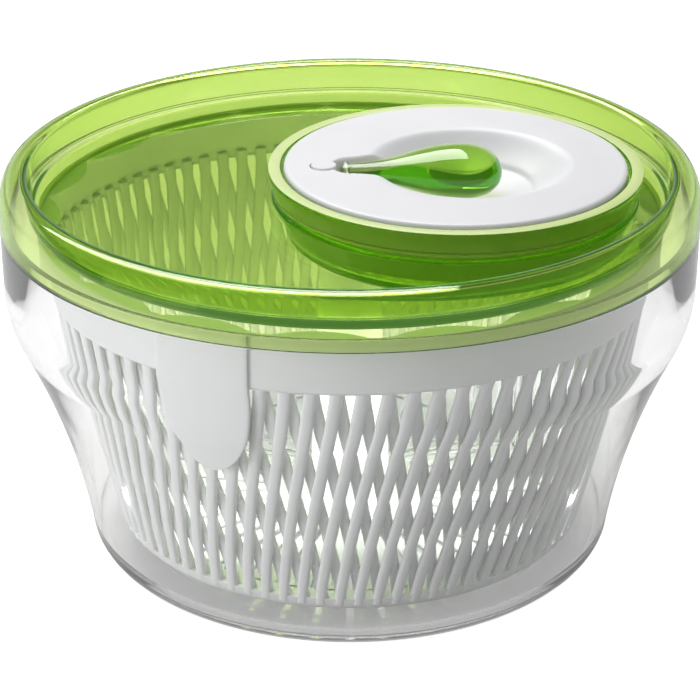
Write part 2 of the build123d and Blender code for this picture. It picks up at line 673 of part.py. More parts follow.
def make_dog_pin():
    middle_z = DOG_TOP_Z - DOG_NOSE
    return Pos(0, 0, middle_z) * Rot(90, 0, 0) * Cylinder(DOG_PIN_RADIUS, DOG_FLATS - 2 * MOULDED_GAP)


# Basket


def basket_body(grow):
    """Solid of the basket's outside, drawn in or out evenly: cone, rounded foot and upright band."""
    floor_z = BASKET_FLOOR_Z - grow
    cone_top = BASKET_RADIUS - BASKET_BAND_STEP + grow
    lean = atan2(BASKET_RADIUS - BASKET_BAND_STEP - BASKET_FLOOR_RADIUS, BAND_BOTTOM_Z - BASKET_FLOOR_Z)
    sharp = BASKET_FLOOR_RADIUS + grow - grow * tan(lean)
    run = (BASKET_CORNER + grow) * tan((pi / 2 - lean) / 2)
    flat = point(sharp - run, floor_z)
    foot = point(sharp + run * sin(lean), floor_z + run * cos(lean))
    return lathe(
        Line(point(0, floor_z), flat),
        TangentArc(flat, foot, tangent=(1, 0, 0)),
        *chain(
            foot,
            point(cone_top, BAND_BOTTOM_Z),
            point(BASKET_RADIUS + grow, BAND_BOTTOM_Z + BASKET_BAND_STEP),
            point(BASKET_RADIUS + grow, BASKET_TOP_Z),
            point(0, BASKET_TOP_Z),
            point(0, floor_z),
        ),
    )


def cone_radius(height):
    """Radius of the basket's sloping wall at a height."""
    share = (height - BASKET_FLOOR_Z) / (BAND_BOTTOM_Z - BASKET_FLOOR_Z)
    return BASKET_FLOOR_RADIUS + share * (BASKET_RADIUS - BASKET_BAND_STEP - BASKET_FLOOR_RADIUS)


def slot_cutter():
    """Slanting wedge that cuts one slot: wide at the band, narrow at the floor."""
    low_z, high_z = BASKET_FLOOR_Z + SLOT_FLOOR_GAP, BAND_BOTTOM_Z
    twist = radians(RIB_TWIST)
    top = Vector(cone_radius(high_z), 0, high_z)
    low = Vector(cone_radius(low_z) * cos(twist), -cone_radius(low_z) * sin(twist), low_z)
    along = (top - low).normalized()
    middle = (top + low) / 2
    outward = Vector(middle.X, middle.Y, 0).normalized()
    plane = Plane(origin=middle, x_dir=along, z_dir=outward - along * outward.dot(along))
    half = (top - low).length / 2
    wedge = Polygon(
        (-half, -SLOT_BOTTOM_WIDTH / 2),
        (half, -SLOT_TOP_WIDTH / 2),
        (half, SLOT_TOP_WIDTH / 2),
        (-half, SLOT_BOTTOM_WIDTH / 2),
        align=None,
    )
    return extrude(plane * wedge, 2 * (BASKET_WALL + INNER_RIB_DEPTH), both=True)


def inner_lattice():
    """Second layer of ribs inside the first, slanting the other way, so that the gaps are diamonds."""
    outer, inner = INNER_RIB_OVERLAP - BASKET_WALL, -BASKET_WALL - INNER_RIB_DEPTH
    shell = basket_body(outer) - basket_body(inner)
    shell -= drum(BASKET_RADIUS + inner, BAND_BOTTOM_Z, BASKET_TOP_Z + OVERCUT)
    foot = BASKET_FLOOR_RADIUS - BASKET_CORNER - FLOOR_SLOT_MARGIN
    shell &= tube(BASKET_RADIUS, foot, BASKET_FLOOR_Z, BAND_BOTTOM_Z + INNER_RING_RISE)
    cutter = mirror(slot_cutter(), Plane.XZ)
    return shell - [turn * cutter for turn in around(RIBS)]


def tongue_shell():
    """Ring wall that stands off the sloping wall more and more towards the grip tongues' tips."""
    tip_z = BAND_BOTTOM_Z - TONGUE_LENGTH
    tip = cone_radius(tip_z) + TONGUE_TIP_PROUD
    root = BASKET_RADIUS + TONGUE_PROUD
    inner = BASKET_RADIUS - BASKET_WALL
    return lathe(
        *chain(
            point(tip, tip_z),
            point(root, BAND_BOTTOM_Z),
            point(root, BASKET_TOP_Z),
            point(inner, BASKET_TOP_Z),
            point(inner, BAND_BOTTOM_Z),
            point(tip - TONGUE_THICKNESS, tip_z),
            point(tip, tip_z),
        )
    )


def tongue():
    """Grip plate: the part of the leaning ring wall that lies inside a U-shaped outline."""
    half = TONGUE_WIDTH / 2
    low_z = BAND_BOTTOM_Z - TONGUE_LENGTH
    side_z = low_z + TONGUE_LENGTH * 0.35
    turn = half * 0.55
    right = [(0, half, BAND_BOTTOM_Z), (0, half, side_z), (0, turn, low_z), (0, 0, low_z)]
    left = [(x, -y, z) for x, y, z in right]
    outline = Wire(
        [
            Bezier(*right),
            Bezier(*reversed(left)),
            *chain(left[0], (0, -half, BASKET_TOP_Z), (0, half, BASKET_TOP_Z), right[0]),
        ]
    )
    reach = BASKET_RADIUS + TONGUE_TIP_PROUD
    return tongue_shell() & extrude(Face(outline), reach, dir=(1, 0, 0))


def rim_flange():
    """Flat ring inside the top of the band, with an inner edge of arcs that bulge inwards."""
    outer = BASKET_RADIUS - BASKET_WALL / 2
    cusp = BASKET_RADIUS - BASKET_WALL - MOULDED_GAP
    step = 360 / SCALLOPS
    corners = [radians(SCALLOP_START + k * step) for k in range(SCALLOPS)]
    arcs = []
    for angle in corners:
        following = angle + radians(step)
        bulge = polar(cusp - SCALLOP_REACH, angle + radians(step / 2))
        arcs.append(ThreePointArc(polar(cusp, angle), bulge, polar(cusp, following)))
    ring = Face(Wire(Circle(outer).edges())) - Face(Wire(arcs))
    low_z = BASKET_TOP_Z - FLANGE_DROP - FLANGE_THICKNESS
    return extrude(Pos(0, 0, low_z) * ring, FLANGE_THICKNESS)


def make_basket():
    mouth_z = BAND_BOTTOM_Z + BASKET_BAND_STEP
    mouth = drum(BASKET_RADIUS - BASKET_WALL, mouth_z, BASKET_TOP_Z + OVERCUT)
    basket = basket_body(0) - basket_body(-BASKET_WALL) - mouth
    basket -= [turn * slot_cutter() for turn in around(RIBS)]
    slot_end = BASKET_FLOOR_RADIUS - BASKET_CORNER - FLOOR_SLOT_MARGIN
    slot_length = slot_end - FLOOR_SLOT_START
    floor_slot = Pos(FLOOR_SLOT_START + slot_length / 2, 0, BASKET_FLOOR_Z) * Box(
        slot_length, FLOOR_SLOT_WIDTH, 4 * BASKET_WALL
    )
    basket -= [turn * floor_slot for turn in around(FLOOR_SLOTS)]
    basket -= drum(COLUMN_SPIGOT_RADIUS + SEAT_GAP, 0, BASKET_TOP_Z)
    tongues = [turn * tongue() for turn in around(TONGUES, TONGUE_ANGLE)]
    return basket + [inner_lattice(), rim_flange(), *tongues]


def make_drive_column():
    floor_z = BASKET_FLOOR_Z + BASKET_WALL
    rim_z = floor_z + COLUMN_FLANGE
    socket_z = COLUMN_TOP_Z - SOCKET_DEPTH
    roof = 2 * COLUMN_WALL
    outside = lathe(
        *chain(
            point(0, BASKET_FLOOR_Z),
            point(COLUMN_SPIGOT_RADIUS, BASKET_FLOOR_Z),
            point(COLUMN_SPIGOT_RADIUS, floor_z),
            point(COLUMN_FLANGE_RADIUS, floor_z),
            point(COLUMN_FLANGE_RADIUS, rim_z),
            point(COLUMN_BASE_RADIUS, rim_z),
            point(COLUMN_TOP_RADIUS, COLUMN_TOP_Z),
            point(0, COLUMN_TOP_Z),
            point(0, BASKET_FLOOR_Z),
        )
    )
    inside = lathe(
        *chain(
            point(0, BASKET_FLOOR_Z - OVERCUT),
            point(COLUMN_SPIGOT_RADIUS - COLUMN_WALL, BASKET_FLOOR_Z - OVERCUT),
            point(COLUMN_SPIGOT_RADIUS - COLUMN_WALL, floor_z),
            point(COLUMN_BASE_RADIUS - COLUMN_WALL, rim_z),
            point(COLUMN_TOP_RADIUS - COLUMN_WALL, COLUMN_TOP_Z - roof),
            point(0, COLUMN_TOP_Z - roof),
            point(0, BASKET_FLOOR_Z - OVERCUT),
        )
    )
    socket = hexagon(SOCKET_FLATS + 2 * COLUMN_WALL, socket_z - COLUMN_WALL, COLUMN_TOP_Z)
    socket &= drum(COLUMN_TOP_RADIUS - COLUMN_WALL / 2, 0, COLUMN_TOP_Z)
    web_z = BASKET_FLOOR_Z + WEB_RISE
    web = drum(COLUMN_BASE_RADIUS - COLUMN_WALL / 2, web_z, web_z + WEB_THICKNESS)
    boss_bottom_z = BASKET_FLOOR_Z + PIVOT_BUSH_FLANGE_HEIGHT + SEAT_GAP
    boss_top_z = PIVOT_BUSH_TOP_Z - PIVOT_BUSH_LIP_HEIGHT - SEAT_GAP
    boss = drum(PIVOT_BOSS_BORE + PIVOT_BOSS_WALL, boss_bottom_z, boss_top_z)
    column = outside - inside + socket + web + boss
    column -= drum(PIVOT_BOSS_BORE, BASKET_FLOOR_Z - OVERCUT, boss_top_z + OVERCUT)
    return column - hexagon(SOCKET_FLATS, socket_z, COLUMN_TOP_Z + OVERCUT)


def make_pivot_bush():
    bottom_z = BASKET_FLOOR_Z
    lip_z = PIVOT_BUSH_TOP_Z - PIVOT_BUSH_LIP_HEIGHT
    bush = drum(PIVOT_BUSH_RADIUS, bottom_z, PIVOT_BUSH_TOP_Z)
    bush += drum(PIVOT_BUSH_RADIUS + PIVOT_BUSH_FLANGE, bottom_z, bottom_z + PIVOT_BUSH_FLANGE_HEIGHT)
    bush += drum(PIVOT_BUSH_RADIUS + PIVOT_BUSH_LIP, lip_z, PIVOT_BUSH_TOP_Z)
    return bush - drum(PIVOT_BORE, bottom_z - OVERCUT, PIVOT_TOP_Z + SEAT_GAP)


PIECES = {
    "bowl": make_bowl,
    "pivot_bush": make_pivot_bush,
    "basket": make_basket,
    "drive_column": make_drive_column,
    "lid": make_lid,
    "shaft_bush": make_shaft_bush,
    "glide_ring": make_glide_ring,
    "crank_wheel": make_crank_wheel,
    "ring_gear": make_ring_gear,
    "gear_screws": make_gear_screws,
    "axle_screw": make_axle_screw,
    "axle_washer": make_axle_washer,
    "hinge_pin": make_hinge_pin,
    "hinge_plug": make_hinge_plug,
    "crank_lever": make_lever,
    "drive_pinion": make_pinion,
    "drive_shaft": make_drive_shaft,
    "shaft_clip": make_shaft_clip,
    "drive_dog": make_drive_dog,
    "dog_pin": make_dog_pin,
}


def main():
    os.makedirs("parts", exist_ok=True)
    for name, make in PIECES.items():
        export_step(make(), f"parts/{name}.step")


main()
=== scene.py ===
# %% [markdown]
# # A salad spinner, dressed on its CAD frame
# The real object is a clear moulded bowl, a white basket with two layers of crossing ribs, and a
# see-through green lid with a white crank wheel. The CAD model already fixes every size and every joint,
# so this script loads it first and hangs smooth, well finished surfaces on it. What is already right stays
# as the CAD made it.

# %% load the frame
import json
from math import atan2, cos, degrees, pi, radians, sin, tan

import bmesh
import bpy
import numpy as np
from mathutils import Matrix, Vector


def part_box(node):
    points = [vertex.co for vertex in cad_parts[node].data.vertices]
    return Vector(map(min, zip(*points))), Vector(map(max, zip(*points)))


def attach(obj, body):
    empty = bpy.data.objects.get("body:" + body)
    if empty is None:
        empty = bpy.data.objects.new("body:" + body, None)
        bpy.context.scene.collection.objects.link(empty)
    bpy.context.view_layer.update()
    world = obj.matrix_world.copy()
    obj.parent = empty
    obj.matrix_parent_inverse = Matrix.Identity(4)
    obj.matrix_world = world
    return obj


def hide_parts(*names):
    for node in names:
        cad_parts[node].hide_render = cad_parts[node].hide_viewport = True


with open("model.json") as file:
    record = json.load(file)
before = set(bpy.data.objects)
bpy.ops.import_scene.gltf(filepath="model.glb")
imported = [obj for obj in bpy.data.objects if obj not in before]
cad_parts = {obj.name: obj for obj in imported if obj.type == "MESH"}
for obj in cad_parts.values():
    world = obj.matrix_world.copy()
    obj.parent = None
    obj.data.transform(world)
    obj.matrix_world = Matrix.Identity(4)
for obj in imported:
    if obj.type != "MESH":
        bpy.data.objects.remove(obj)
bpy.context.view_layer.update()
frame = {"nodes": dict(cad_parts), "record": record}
nodes = frame["nodes"]

# %% [markdown]
# ## Surfaces from arrays
# Most of a spinner is turned: a profile goes round an axis. So one helper takes a grid of points, row by
# row, and makes quads between neighbours. The grid may close on itself in either direction. Points that
# fall together at a pole are merged, and the faces are turned outwards, because a see-through material
# needs a closed skin with the right side out.

# %% grid helper
MM = 0.001
ROUND = 192
MERGE_M = 1e-6


def put_grid(name, points, wrap_rows=False, crease=40.0):
    """Mesh object from points[row, column, xyz] in mm: quads join neighbours, and columns close in a ring."""
    rows, columns = points.shape[:2]
    index = np.arange(rows * columns).reshape(rows, columns)
    lower = index if wrap_rows else index[:-1]
    upper = np.roll(index, -1, axis=0) if wrap_rows else index[1:]
    corners = [lower, np.roll(lower, -1, 1), np.roll(upper, -1, 1), upper]
    return put_faces(name, points.reshape(-1, 3), np.stack(corners, axis=-1).reshape(-1, 4), crease)


def put_faces(name, points, quads, crease):
    """Mesh object from points in mm and rows of four corners, doubles merged and faces turned outwards."""
    mesh = bpy.data.meshes.new(name)
    mesh.vertices.add(len(points))
    mesh.vertices.foreach_set("co", (points * MM).astype(np.float32).ravel())
    mesh.loops.add(quads.size)
    mesh.loops.foreach_set("vertex_index", quads.astype(np.int32).ravel())
    mesh.polygons.add(len(quads))
    mesh.polygons.foreach_set("loop_start", np.arange(0, quads.size, 4, dtype=np.int32))
    mesh.update(calc_edges=True)
    solid = bmesh.new()
    solid.from_mesh(mesh)
    bmesh.ops.remove_doubles(solid, verts=solid.verts, dist=MERGE_M)
    bmesh.ops.recalc_face_normals(solid, faces=solid.faces)
    solid.to_mesh(mesh)
    solid.free()
    mesh.polygons.foreach_set("use_smooth", np.ones(len(mesh.polygons), dtype=bool))
    mesh.set_sharp_from_angle(angle=radians(crease))
    piece = bpy.data.objects.new(name, mesh)
    bpy.context.scene.collection.objects.link(piece)
    print(name, len(mesh.vertices), "points", len(mesh.polygons), "faces")
    return piece


def stacked(x, y, z):
    """Points from coordinate arrays of any shapes that stretch to one another."""
    return np.stack(np.broadcast_arrays(x, y, z), axis=-1)


def turned(rings, around=ROUND):
    """Grid of circles: row i of rings gives the centre's x, the radius and the height of circle i."""
    angle = np.linspace(0, 2 * pi, around, endpoint=False)
    centre, radius, height = (rings[:, k, None] for k in range(3))
    return stacked(centre + radius * np.cos(angle), radius * np.sin(angle), height)


def on_axis(profile, centre=0.0):
    """Rings of one axis from a profile of (radius, height) rows."""
    profile = np.asarray(profile, dtype=float)
    return np.column_stack([np.full(len(profile), centre), profile])


print("a turned piece has", ROUND, "quads round its axis")

# %% [markdown]
# Profiles are short chains of curves. An arc that leaves a point in a given direction and ends at another
# follows from the angle between the direction and the chord. A Bezier curve with one handle gives soft
# moulded corners, and a rounded corner between straight runs is the same curve with its handle at the
# corner.

# %% profile curves


def leaving_arc(start, end, lean, count=24):
    """Arc from start to end, without its first point, that sets off lean degrees from the vertical."""
    start, end = np.array(start, float), np.array(end, float)
    heading = np.array([sin(radians(lean)), cos(radians(lean))])
    chord = end - start
    side = np.array([heading[1], -heading[0]])
    side = side * np.sign(chord @ side)
    bend = atan2(chord @ side, chord @ heading)
    radius = np.linalg.norm(chord) / (2 * sin(bend))
    turn = np.linspace(0, 2 * bend, count)[1:, None]
    return start + radius * (np.sin(turn) * heading + (1 - np.cos(turn)) * side)


def soft(start, handle, end, count=12):
    """Quadratic Bezier curve from start to end, pulled towards the handle."""
    t = np.linspace(0, 1, count)[:, None]
    start, handle, end = (np.array(p, float) for p in (start, handle, end))
    return (1 - t) ** 2 * start + 2 * t * (1 - t) * handle + t**2 * end


def cubic(a, b, c, d, count):
    """Cubic Bezier curve from a to d with handles b and c."""
    t = np.linspace(0, 1, count)[:, None]
    a, b, c, d = (np.array(p, float) for p in (a, b, c, d))
    return (1 - t) ** 3 * a + 3 * t * (1 - t) ** 2 * b + 3 * t**2 * (1 - t) * c + t**3 * d


def rounded(corners, radius, count=6):
    """Chain of points whose inner corners are soft bends that start and end radius away from the corner."""
    corners = [np.array(p, float) for p in corners]
    path = [corners[0][None]]
    for before, corner, after in zip(corners, corners[1:], corners[2:]):
        into, out = before - corner, after - corner
        reach_in = min(radius, np.linalg.norm(into) / 2)
        reach_out = min(radius, np.linalg.norm(out) / 2)
        start = corner + into / np.linalg.norm(into) * reach_in
        end = corner + out / np.linalg.norm(out) * reach_out
        path.append(soft(start, corner, end, count))
    path.append(corners[-1][None])
    return np.concatenate(path)


def smooth(t):
    """Smooth step from 0 to 1."""
    t = np.clip(t, 0, 1)
    return t * t * (3 - 2 * t)


print("middle of a soft corner", soft((1, 0), (1, 1), (0, 1), 3)[1])

# %% [markdown]
# ## Finishes
# One function turns an sRGB hex colour into the linear values that shaders use, and one adds a node with
# its settings and links. Every finish starts from a Principled shader, and patterns read Object
# coordinates, so that they stay on the piece when it moves.

# %% colour and node helpers


def linear(code):
    """Linear RGBA of an sRGB colour such as #8fc031."""
    srgb = np.array([int(code[k : k + 2], 16) for k in (1, 3, 5)]) / 255
    rgb = np.where(srgb <= 0.04045, srgb / 12.92, ((srgb + 0.055) / 1.055) ** 2.4)
    return (*(float(c) for c in rgb), 1.0)


def add(tree, kind, settings=None, inputs=None, links=None):
    """New node of a kind: settings are its properties, inputs its socket values, links its incoming wires."""
    node = tree.nodes.new(kind)
    for key, value in (settings or {}).items():
        setattr(node, key, value)
    for key, value in (inputs or {}).items():
        node.inputs[key].default_value = value
    for key, source in (links or {}).items():
        tree.links.new(source, node.inputs[key])
    return node


def finish(name, inputs):
    """Material with a Principled shader set to these values, and its tree, shader and output."""
    material = bpy.data.materials.new(name)
    material.use_nodes = True
    tree = material.node_tree
    tree.nodes.clear()
    shader = add(tree, "ShaderNodeBsdfPrincipled", inputs=inputs)
    output = add(tree, "ShaderNodeOutputMaterial", links={"Surface": shader.outputs["BSDF"]})
    print("finish", name)
    return material, tree, shader, output


def per_mm(size):
    """Texture scale, per metre, of a pattern whose features are this many mm across."""
    return 1000.0 / size


print("a leaf green in linear light", linear("#8fc031"))

# %% [markdown]
# The bowl, lid and lever are styrene, moulded in polished steel. They could be thin panes with a little
# alpha, but thick edges would then look like thin ones. So light is really bent here, and a dye inside
# takes up some of it on the way. Styrene's index is near 1.59. The bowl and the lid are set lower, because
# at the full value rows of inner reflections hide the basket. Light that is caught in a wall would go black,
# so a weak glow inside, which lamplight rays don't carry, paints it in with the colour of a faint haze. Rays
# that only carry lamplight go straight through with a tint, because they can't find a lamp through a bent
# path. A slow ripple, a few centimetres long, makes reflections wander as on any moulding.

# %% see-through styrene
POLISH = 0.015
RIPPLE_DEPTH_MM, RIPPLE_STRENGTH = 0.25, 0.25


def clear_moulding(name, index, dye, dye_density, painted_glow_colour, painted_glow_strength, passing, ripple_mm):
    """Polished styrene: bends light and dyes it on its way, glows faintly inside as painted light, and passes
    lamplight with a tint.
    """
    material, tree, shader, output = finish(
        name,
        {"Base Color": linear("#ffffff"), "Roughness": POLISH, "IOR": index, "Transmission Weight": 1.0},
    )
    place = add(tree, "ShaderNodeTexCoord")
    noise = add(
        tree,
        "ShaderNodeTexNoise",
        inputs={"Scale": per_mm(ripple_mm), "Detail": 1.0},
        links={"Vector": place.outputs["Object"]},
    )
    bump = add(
        tree,
        "ShaderNodeBump",
        inputs={"Strength": RIPPLE_STRENGTH, "Distance": RIPPLE_DEPTH_MM * MM},
        links={"Height": noise.outputs["Fac"]},
    )
    tree.links.new(bump.outputs["Normal"], shader.inputs["Normal"])
    path = add(tree, "ShaderNodeLightPath")
    lighting = add(
        tree,
        "ShaderNodeMath",
        settings={"operation": "MAXIMUM"},
        links={0: path.outputs["Is Shadow Ray"], 1: path.outputs["Is Diffuse Ray"]},
    )
    seen = add(
        tree,
        "ShaderNodeMath",
        settings={"operation": "SUBTRACT"},
        inputs={0: 1.0},
        links={1: lighting.outputs[0]},
    )
    density, glow = (
        add(
            tree,
            "ShaderNodeMath",
            settings={"operation": "MULTIPLY"},
            inputs={1: amount},
            links={0: seen.outputs[0]},
        )
        for amount in (dye_density, painted_glow_strength)
    )
    taken = add(
        tree,
        "ShaderNodeVolumeAbsorption",
        inputs={"Color": linear(dye)},
        links={"Density": density.outputs[0]},
    )
    # painted light: an emission inside the plastic, not carried by lamplight rays, stands in for light caught
    # in the walls
    painted_glow_emission = add(
        tree,
        "ShaderNodeEmission",
        inputs={"Color": linear(painted_glow_colour)},
        links={"Strength": glow.outputs[0]},
    )
    inside = add(
        tree,
        "ShaderNodeAddShader",
        links={0: taken.outputs["Volume"], 1: painted_glow_emission.outputs["Emission"]},
    )
    tree.links.new(inside.outputs["Shader"], output.inputs["Volume"])
    window = add(tree, "ShaderNodeBsdfTransparent", inputs={"Color": linear(passing)})
    either = add(
        tree,
        "ShaderNodeMixShader",
        links={0: lighting.outputs[0], 1: shader.outputs["BSDF"], 2: window.outputs["BSDF"]},
    )
    tree.links.new(either.outputs["Shader"], output.inputs["Surface"])
    return material


# the glow colour and strength in each call below set a painted glow inside that plastic
clear_styrene = clear_moulding(
    "clear_styrene_polished",
    index=1.38,
    dye="#787878",
    dye_density=8.0,
    painted_glow_colour="#cbcbcc",
    painted_glow_strength=7.0,
    passing="#f9f9f9",
    ripple_mm=35.0,
)
green_styrene = clear_moulding(
    "green_styrene_polished",
    index=1.5,
    dye="#daee56",
    dye_density=440.0,
    painted_glow_colour="#74b42c",
    painted_glow_strength=21.0,
    passing="#d4e2b8",
    ripple_mm=30.0,
)
lever_styrene = clear_moulding(
    "green_lever_styrene_polished",
    index=1.57,
    dye="#d2ec62",
    dye_density=125.0,
    painted_glow_colour="#6fae2c",
    painted_glow_strength=8.0,
    passing="#e8eed6",
    ripple_mm=14.0,
)

# %% [markdown]
# The white pieces are polypropylene and ABS with a fine spark-eroded grain: a broad soft highlight, and a
# very slight cloudiness of colour. The hidden gears are natural acetal, a little waxy. The lid's lip has
# the same grain, and a pale colour that is a painted highlight between polished faces. Light scatters just
# below the skin of them all. Real spark grain is about a tenth of a millimetre across. It is drawn at about
# one, so that it shows at all.

# %% opaque plastics
CLOUD_MM = 26.0
GLOSS_SPREAD = 0.05
GRAIN_DEPTH_MM, GRAIN_STRENGTH = 0.02, 0.3


def grained_plastic(name, light, dark, roughness, grain_mm, scatter_mm):
    """Moulded plastic: cloudy colour, fine grain in the surface and a little scattering below it."""
    material, tree, shader, _ = finish(
        name,
        {
            "IOR": 1.49,
            "Subsurface Weight": 0.12,
            "Subsurface Radius": (1.0, 1.0, 1.0),
            "Subsurface Scale": scatter_mm * MM,
        },
    )
    place = add(tree, "ShaderNodeTexCoord")
    clouds, grain = (
        add(
            tree,
            "ShaderNodeTexNoise",
            inputs={"Scale": per_mm(size), "Detail": detail},
            links={"Vector": place.outputs["Object"]},
        )
        for size, detail in ((CLOUD_MM, 2.0), (grain_mm, 3.0))
    )
    colour = add(
        tree,
        "ShaderNodeMix",
        settings={"data_type": "RGBA"},
        inputs={"A": linear(dark), "B": linear(light)},
        links={"Factor": clouds.outputs["Fac"]},
    )
    tree.links.new(colour.outputs["Result"], shader.inputs["Base Color"])
    gloss = add(
        tree,
        "ShaderNodeMapRange",
        inputs={"To Min": roughness - GLOSS_SPREAD, "To Max": roughness + GLOSS_SPREAD},
        links={"Value": clouds.outputs["Fac"]},
    )
    tree.links.new(gloss.outputs["Result"], shader.inputs["Roughness"])
    bump = add(
        tree,
        "ShaderNodeBump",
        inputs={"Strength": GRAIN_STRENGTH, "Distance": GRAIN_DEPTH_MM * MM},
        links={"Height": grain.outputs["Fac"]},
    )
    tree.links.new(bump.outputs["Normal"], shader.inputs["Normal"])
    return material


white_polypropylene = grained_plastic("white_polypropylene_moulded", "#eceded", "#e4e5e6", 0.42, 0.9, 2.0)
white_abs = grained_plastic("white_abs_moulded", "#f1f1f4", "#ebebef", 0.38, 0.8, 1.0)
# the lip's pale lime is a painted highlight over a grained finish
green_grained_painted_highlight = grained_plastic("green_styrene_grained_painted_highlight", "#dff0a4", "#d3e98f", 0.38, 0.8, 1.5)
natural_acetal = grained_plastic("natural_acetal_moulded", "#e6e4da", "#dcd9cc", 0.35, 1.2, 1.5)

# %% [markdown]
# Screws, pins and the shaft are turned stainless steel: fine rings run round the axis of each piece, so
# the pattern is a band texture across the height, stretched by a little noise. A lathe's feed is about a
# tenth of a millimetre. The rings are drawn coarser, so that they show.

# %% stainless steel
RING_PITCH_MM = 0.8
WAVES_PER_SCALE = 20
RING_DEPTH_MM = 0.01


def turned_steel(name, colour):
    """Turned stainless steel: narrow bands of roughness and a shallow groove pattern along the axis."""
    material, tree, shader, _ = finish(name, {"Base Color": linear(colour), "Metallic": 1.0})
    place = add(tree, "ShaderNodeTexCoord")
    bands = add(
        tree,
        "ShaderNodeTexWave",
        settings={"bands_direction": "Z"},
        inputs={"Scale": per_mm(RING_PITCH_MM) / WAVES_PER_SCALE, "Distortion": 1.5, "Detail": 2.0},
        links={"Vector": place.outputs["Object"]},
    )
    gloss = add(
        tree,
        "ShaderNodeMapRange",
        inputs={"To Min": 0.24, "To Max": 0.36},
        links={"Value": bands.outputs["Fac"]},
    )
    tree.links.new(gloss.outputs["Result"], shader.inputs["Roughness"])
    bump = add(
        tree,
        "ShaderNodeBump",
        inputs={"Strength": 0.2, "Distance": RING_DEPTH_MM * MM},
        links={"Height": bands.outputs["Fac"]},
    )
    tree.links.new(bump.outputs["Normal"], shader.inputs["Normal"])
    return material


stainless_steel = turned_steel("stainless_steel_turned", "#c9c8c4")

# %% [markdown]
# Each new piece has to move with one of the CAD model's bodies and hide the CAD node that it stands for.
# One helper says both, and gives the piece its finish.

# %% dressing helper


def dress(piece, body, material, slot, *stands_for):
    """Gives a new piece its body and finish, and hides the CAD nodes that it stands for; the slot is not
    used.
    """
    piece.data.materials.clear()
    piece.data.materials.append(material)
    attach(piece, body)
    if stands_for:
        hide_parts(*stands_for)
    print(piece.name, "moves with", body)


# %% [markdown]
# ## The bowl
# One clear shell: a foot ring, a rounded corner, a wall that flares in one long arc, a shoulder, an
# upright band, a ledge for the lid and a thin neck inside it. In the middle stands a moulded post for the
# basket. The whole section is one line from the middle of the underside, round the rim, to the tip of the
# post. Turning that line once makes a closed skin, which refraction needs.

# %% bowl
BOWL_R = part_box("bowl")[1][0] / MM
BOWL_WALL = 2.8
BASE_R = 98.8
FOOT_R, FOOT_Z = 109.3, 10.0
INNER_FOOT_R = 106.8
SHOULDER_R, SHOULDER_Z = 135.3, 97.0
WALL_LEAN = 8.4
FOOT_IN, FOOT_LIFT, FOOT_BEVEL, FOOT_ROUND = 86.0, 1.5, 1.0, 0.8
BOWL_LEDGE = 141.0
NECK_OUT, NECK_IN = 137.2, 135.2
NECK_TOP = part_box("bowl")[1][2] / MM
RIM_ROUND = 0.6
POST_R, POST_TOP = 4.5, 26.3
POST_FLARE_R, POST_FLARE_RISE, POST_ROUND = 9.0, 4.5, 2.0


def bowl_wall(base, foot, shoulder, band, floor, foot_z):
    """Corner arc, flaring arc and shoulder arc, from the floor up to where the band is upright."""
    corner = leaving_arc((base, floor), (foot, foot_z), 90)
    flare = leaving_arc((foot, foot_z), (shoulder, SHOULDER_Z), WALL_LEAN, 40)
    lean_out = 2 * atan2(shoulder - foot, SHOULDER_Z - foot_z) - radians(WALL_LEAN)
    band_z = SHOULDER_Z + (band - shoulder) / tan(lean_out / 2)
    turn = leaving_arc((shoulder, SHOULDER_Z), (band, band_z), degrees(lean_out), 20)
    return np.concatenate([[(base, floor)], corner, flare, turn])


bowl_floor = FOOT_LIFT + BOWL_WALL
outer_wall = bowl_wall(BASE_R, FOOT_R, SHOULDER_R, BOWL_R, 0.0, FOOT_Z)
inner_wall = bowl_wall(
    BASE_R - BOWL_WALL / 2, INNER_FOOT_R, SHOULDER_R - BOWL_WALL, NECK_IN, bowl_floor, FOOT_Z + BOWL_WALL
)
foot_ring = rounded(
    [(0, FOOT_LIFT), (FOOT_IN, FOOT_LIFT), (FOOT_IN + FOOT_BEVEL, 0.0), (BASE_R, 0.0)],
    FOOT_ROUND,
)
bowl_rim = rounded(
    [
        outer_wall[-1],
        (BOWL_R, BOWL_LEDGE),
        (NECK_OUT, BOWL_LEDGE),
        (NECK_OUT, NECK_TOP),
        (NECK_IN, NECK_TOP),
        inner_wall[-1],
    ],
    RIM_ROUND,
)
post_side = rounded(
    [
        inner_wall[0],
        (POST_FLARE_R, bowl_floor),
        (POST_R, bowl_floor + POST_FLARE_RISE),
        (POST_R, POST_TOP - POST_R),
    ],
    POST_ROUND,
)
post_tip = soft((POST_R, POST_TOP - POST_R), (POST_R, POST_TOP), (0, POST_TOP), 10)
bowl_section = np.concatenate(
    [foot_ring[:-1], outer_wall, bowl_rim[1:-1], inner_wall[::-1], post_side[1:], post_tip[1:]]
)
bowl = put_grid("bowl_shell", turned(on_axis(bowl_section)))
dress(bowl, "bowl", clear_styrene, "clear_styrene", "bowl")

# %% [markdown]
# ## The basket
# At the top is an upright band, and inside it a flat flange with a scalloped edge, which shows through the
# lid. Both are turned shapes. The flange's inner radius changes round the ring, so its grid is worked out
# from the angle instead of being a plain lathe.

# %% basket band and flange
BASKET_R = 125.5
BASKET_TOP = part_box("basket")[1][2] / MM
BASKET_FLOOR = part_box("basket")[0][2] / MM
BASKET_WALL = 2.2
BAND_LOW = BASKET_TOP - 22.0
BAND_STEP, BAND_ROUND = 1.0, 0.7
FLANGE_TOP = BASKET_TOP - 1.5
FLANGE_THICK, FLANGE_ROUND = 2.0, 0.5
SCALLOPS = 18
CUSP_R = BASKET_R - BASKET_WALL - 0.3
SCALLOP_REACH = 7.6
SCALLOP_START = radians(15.0)

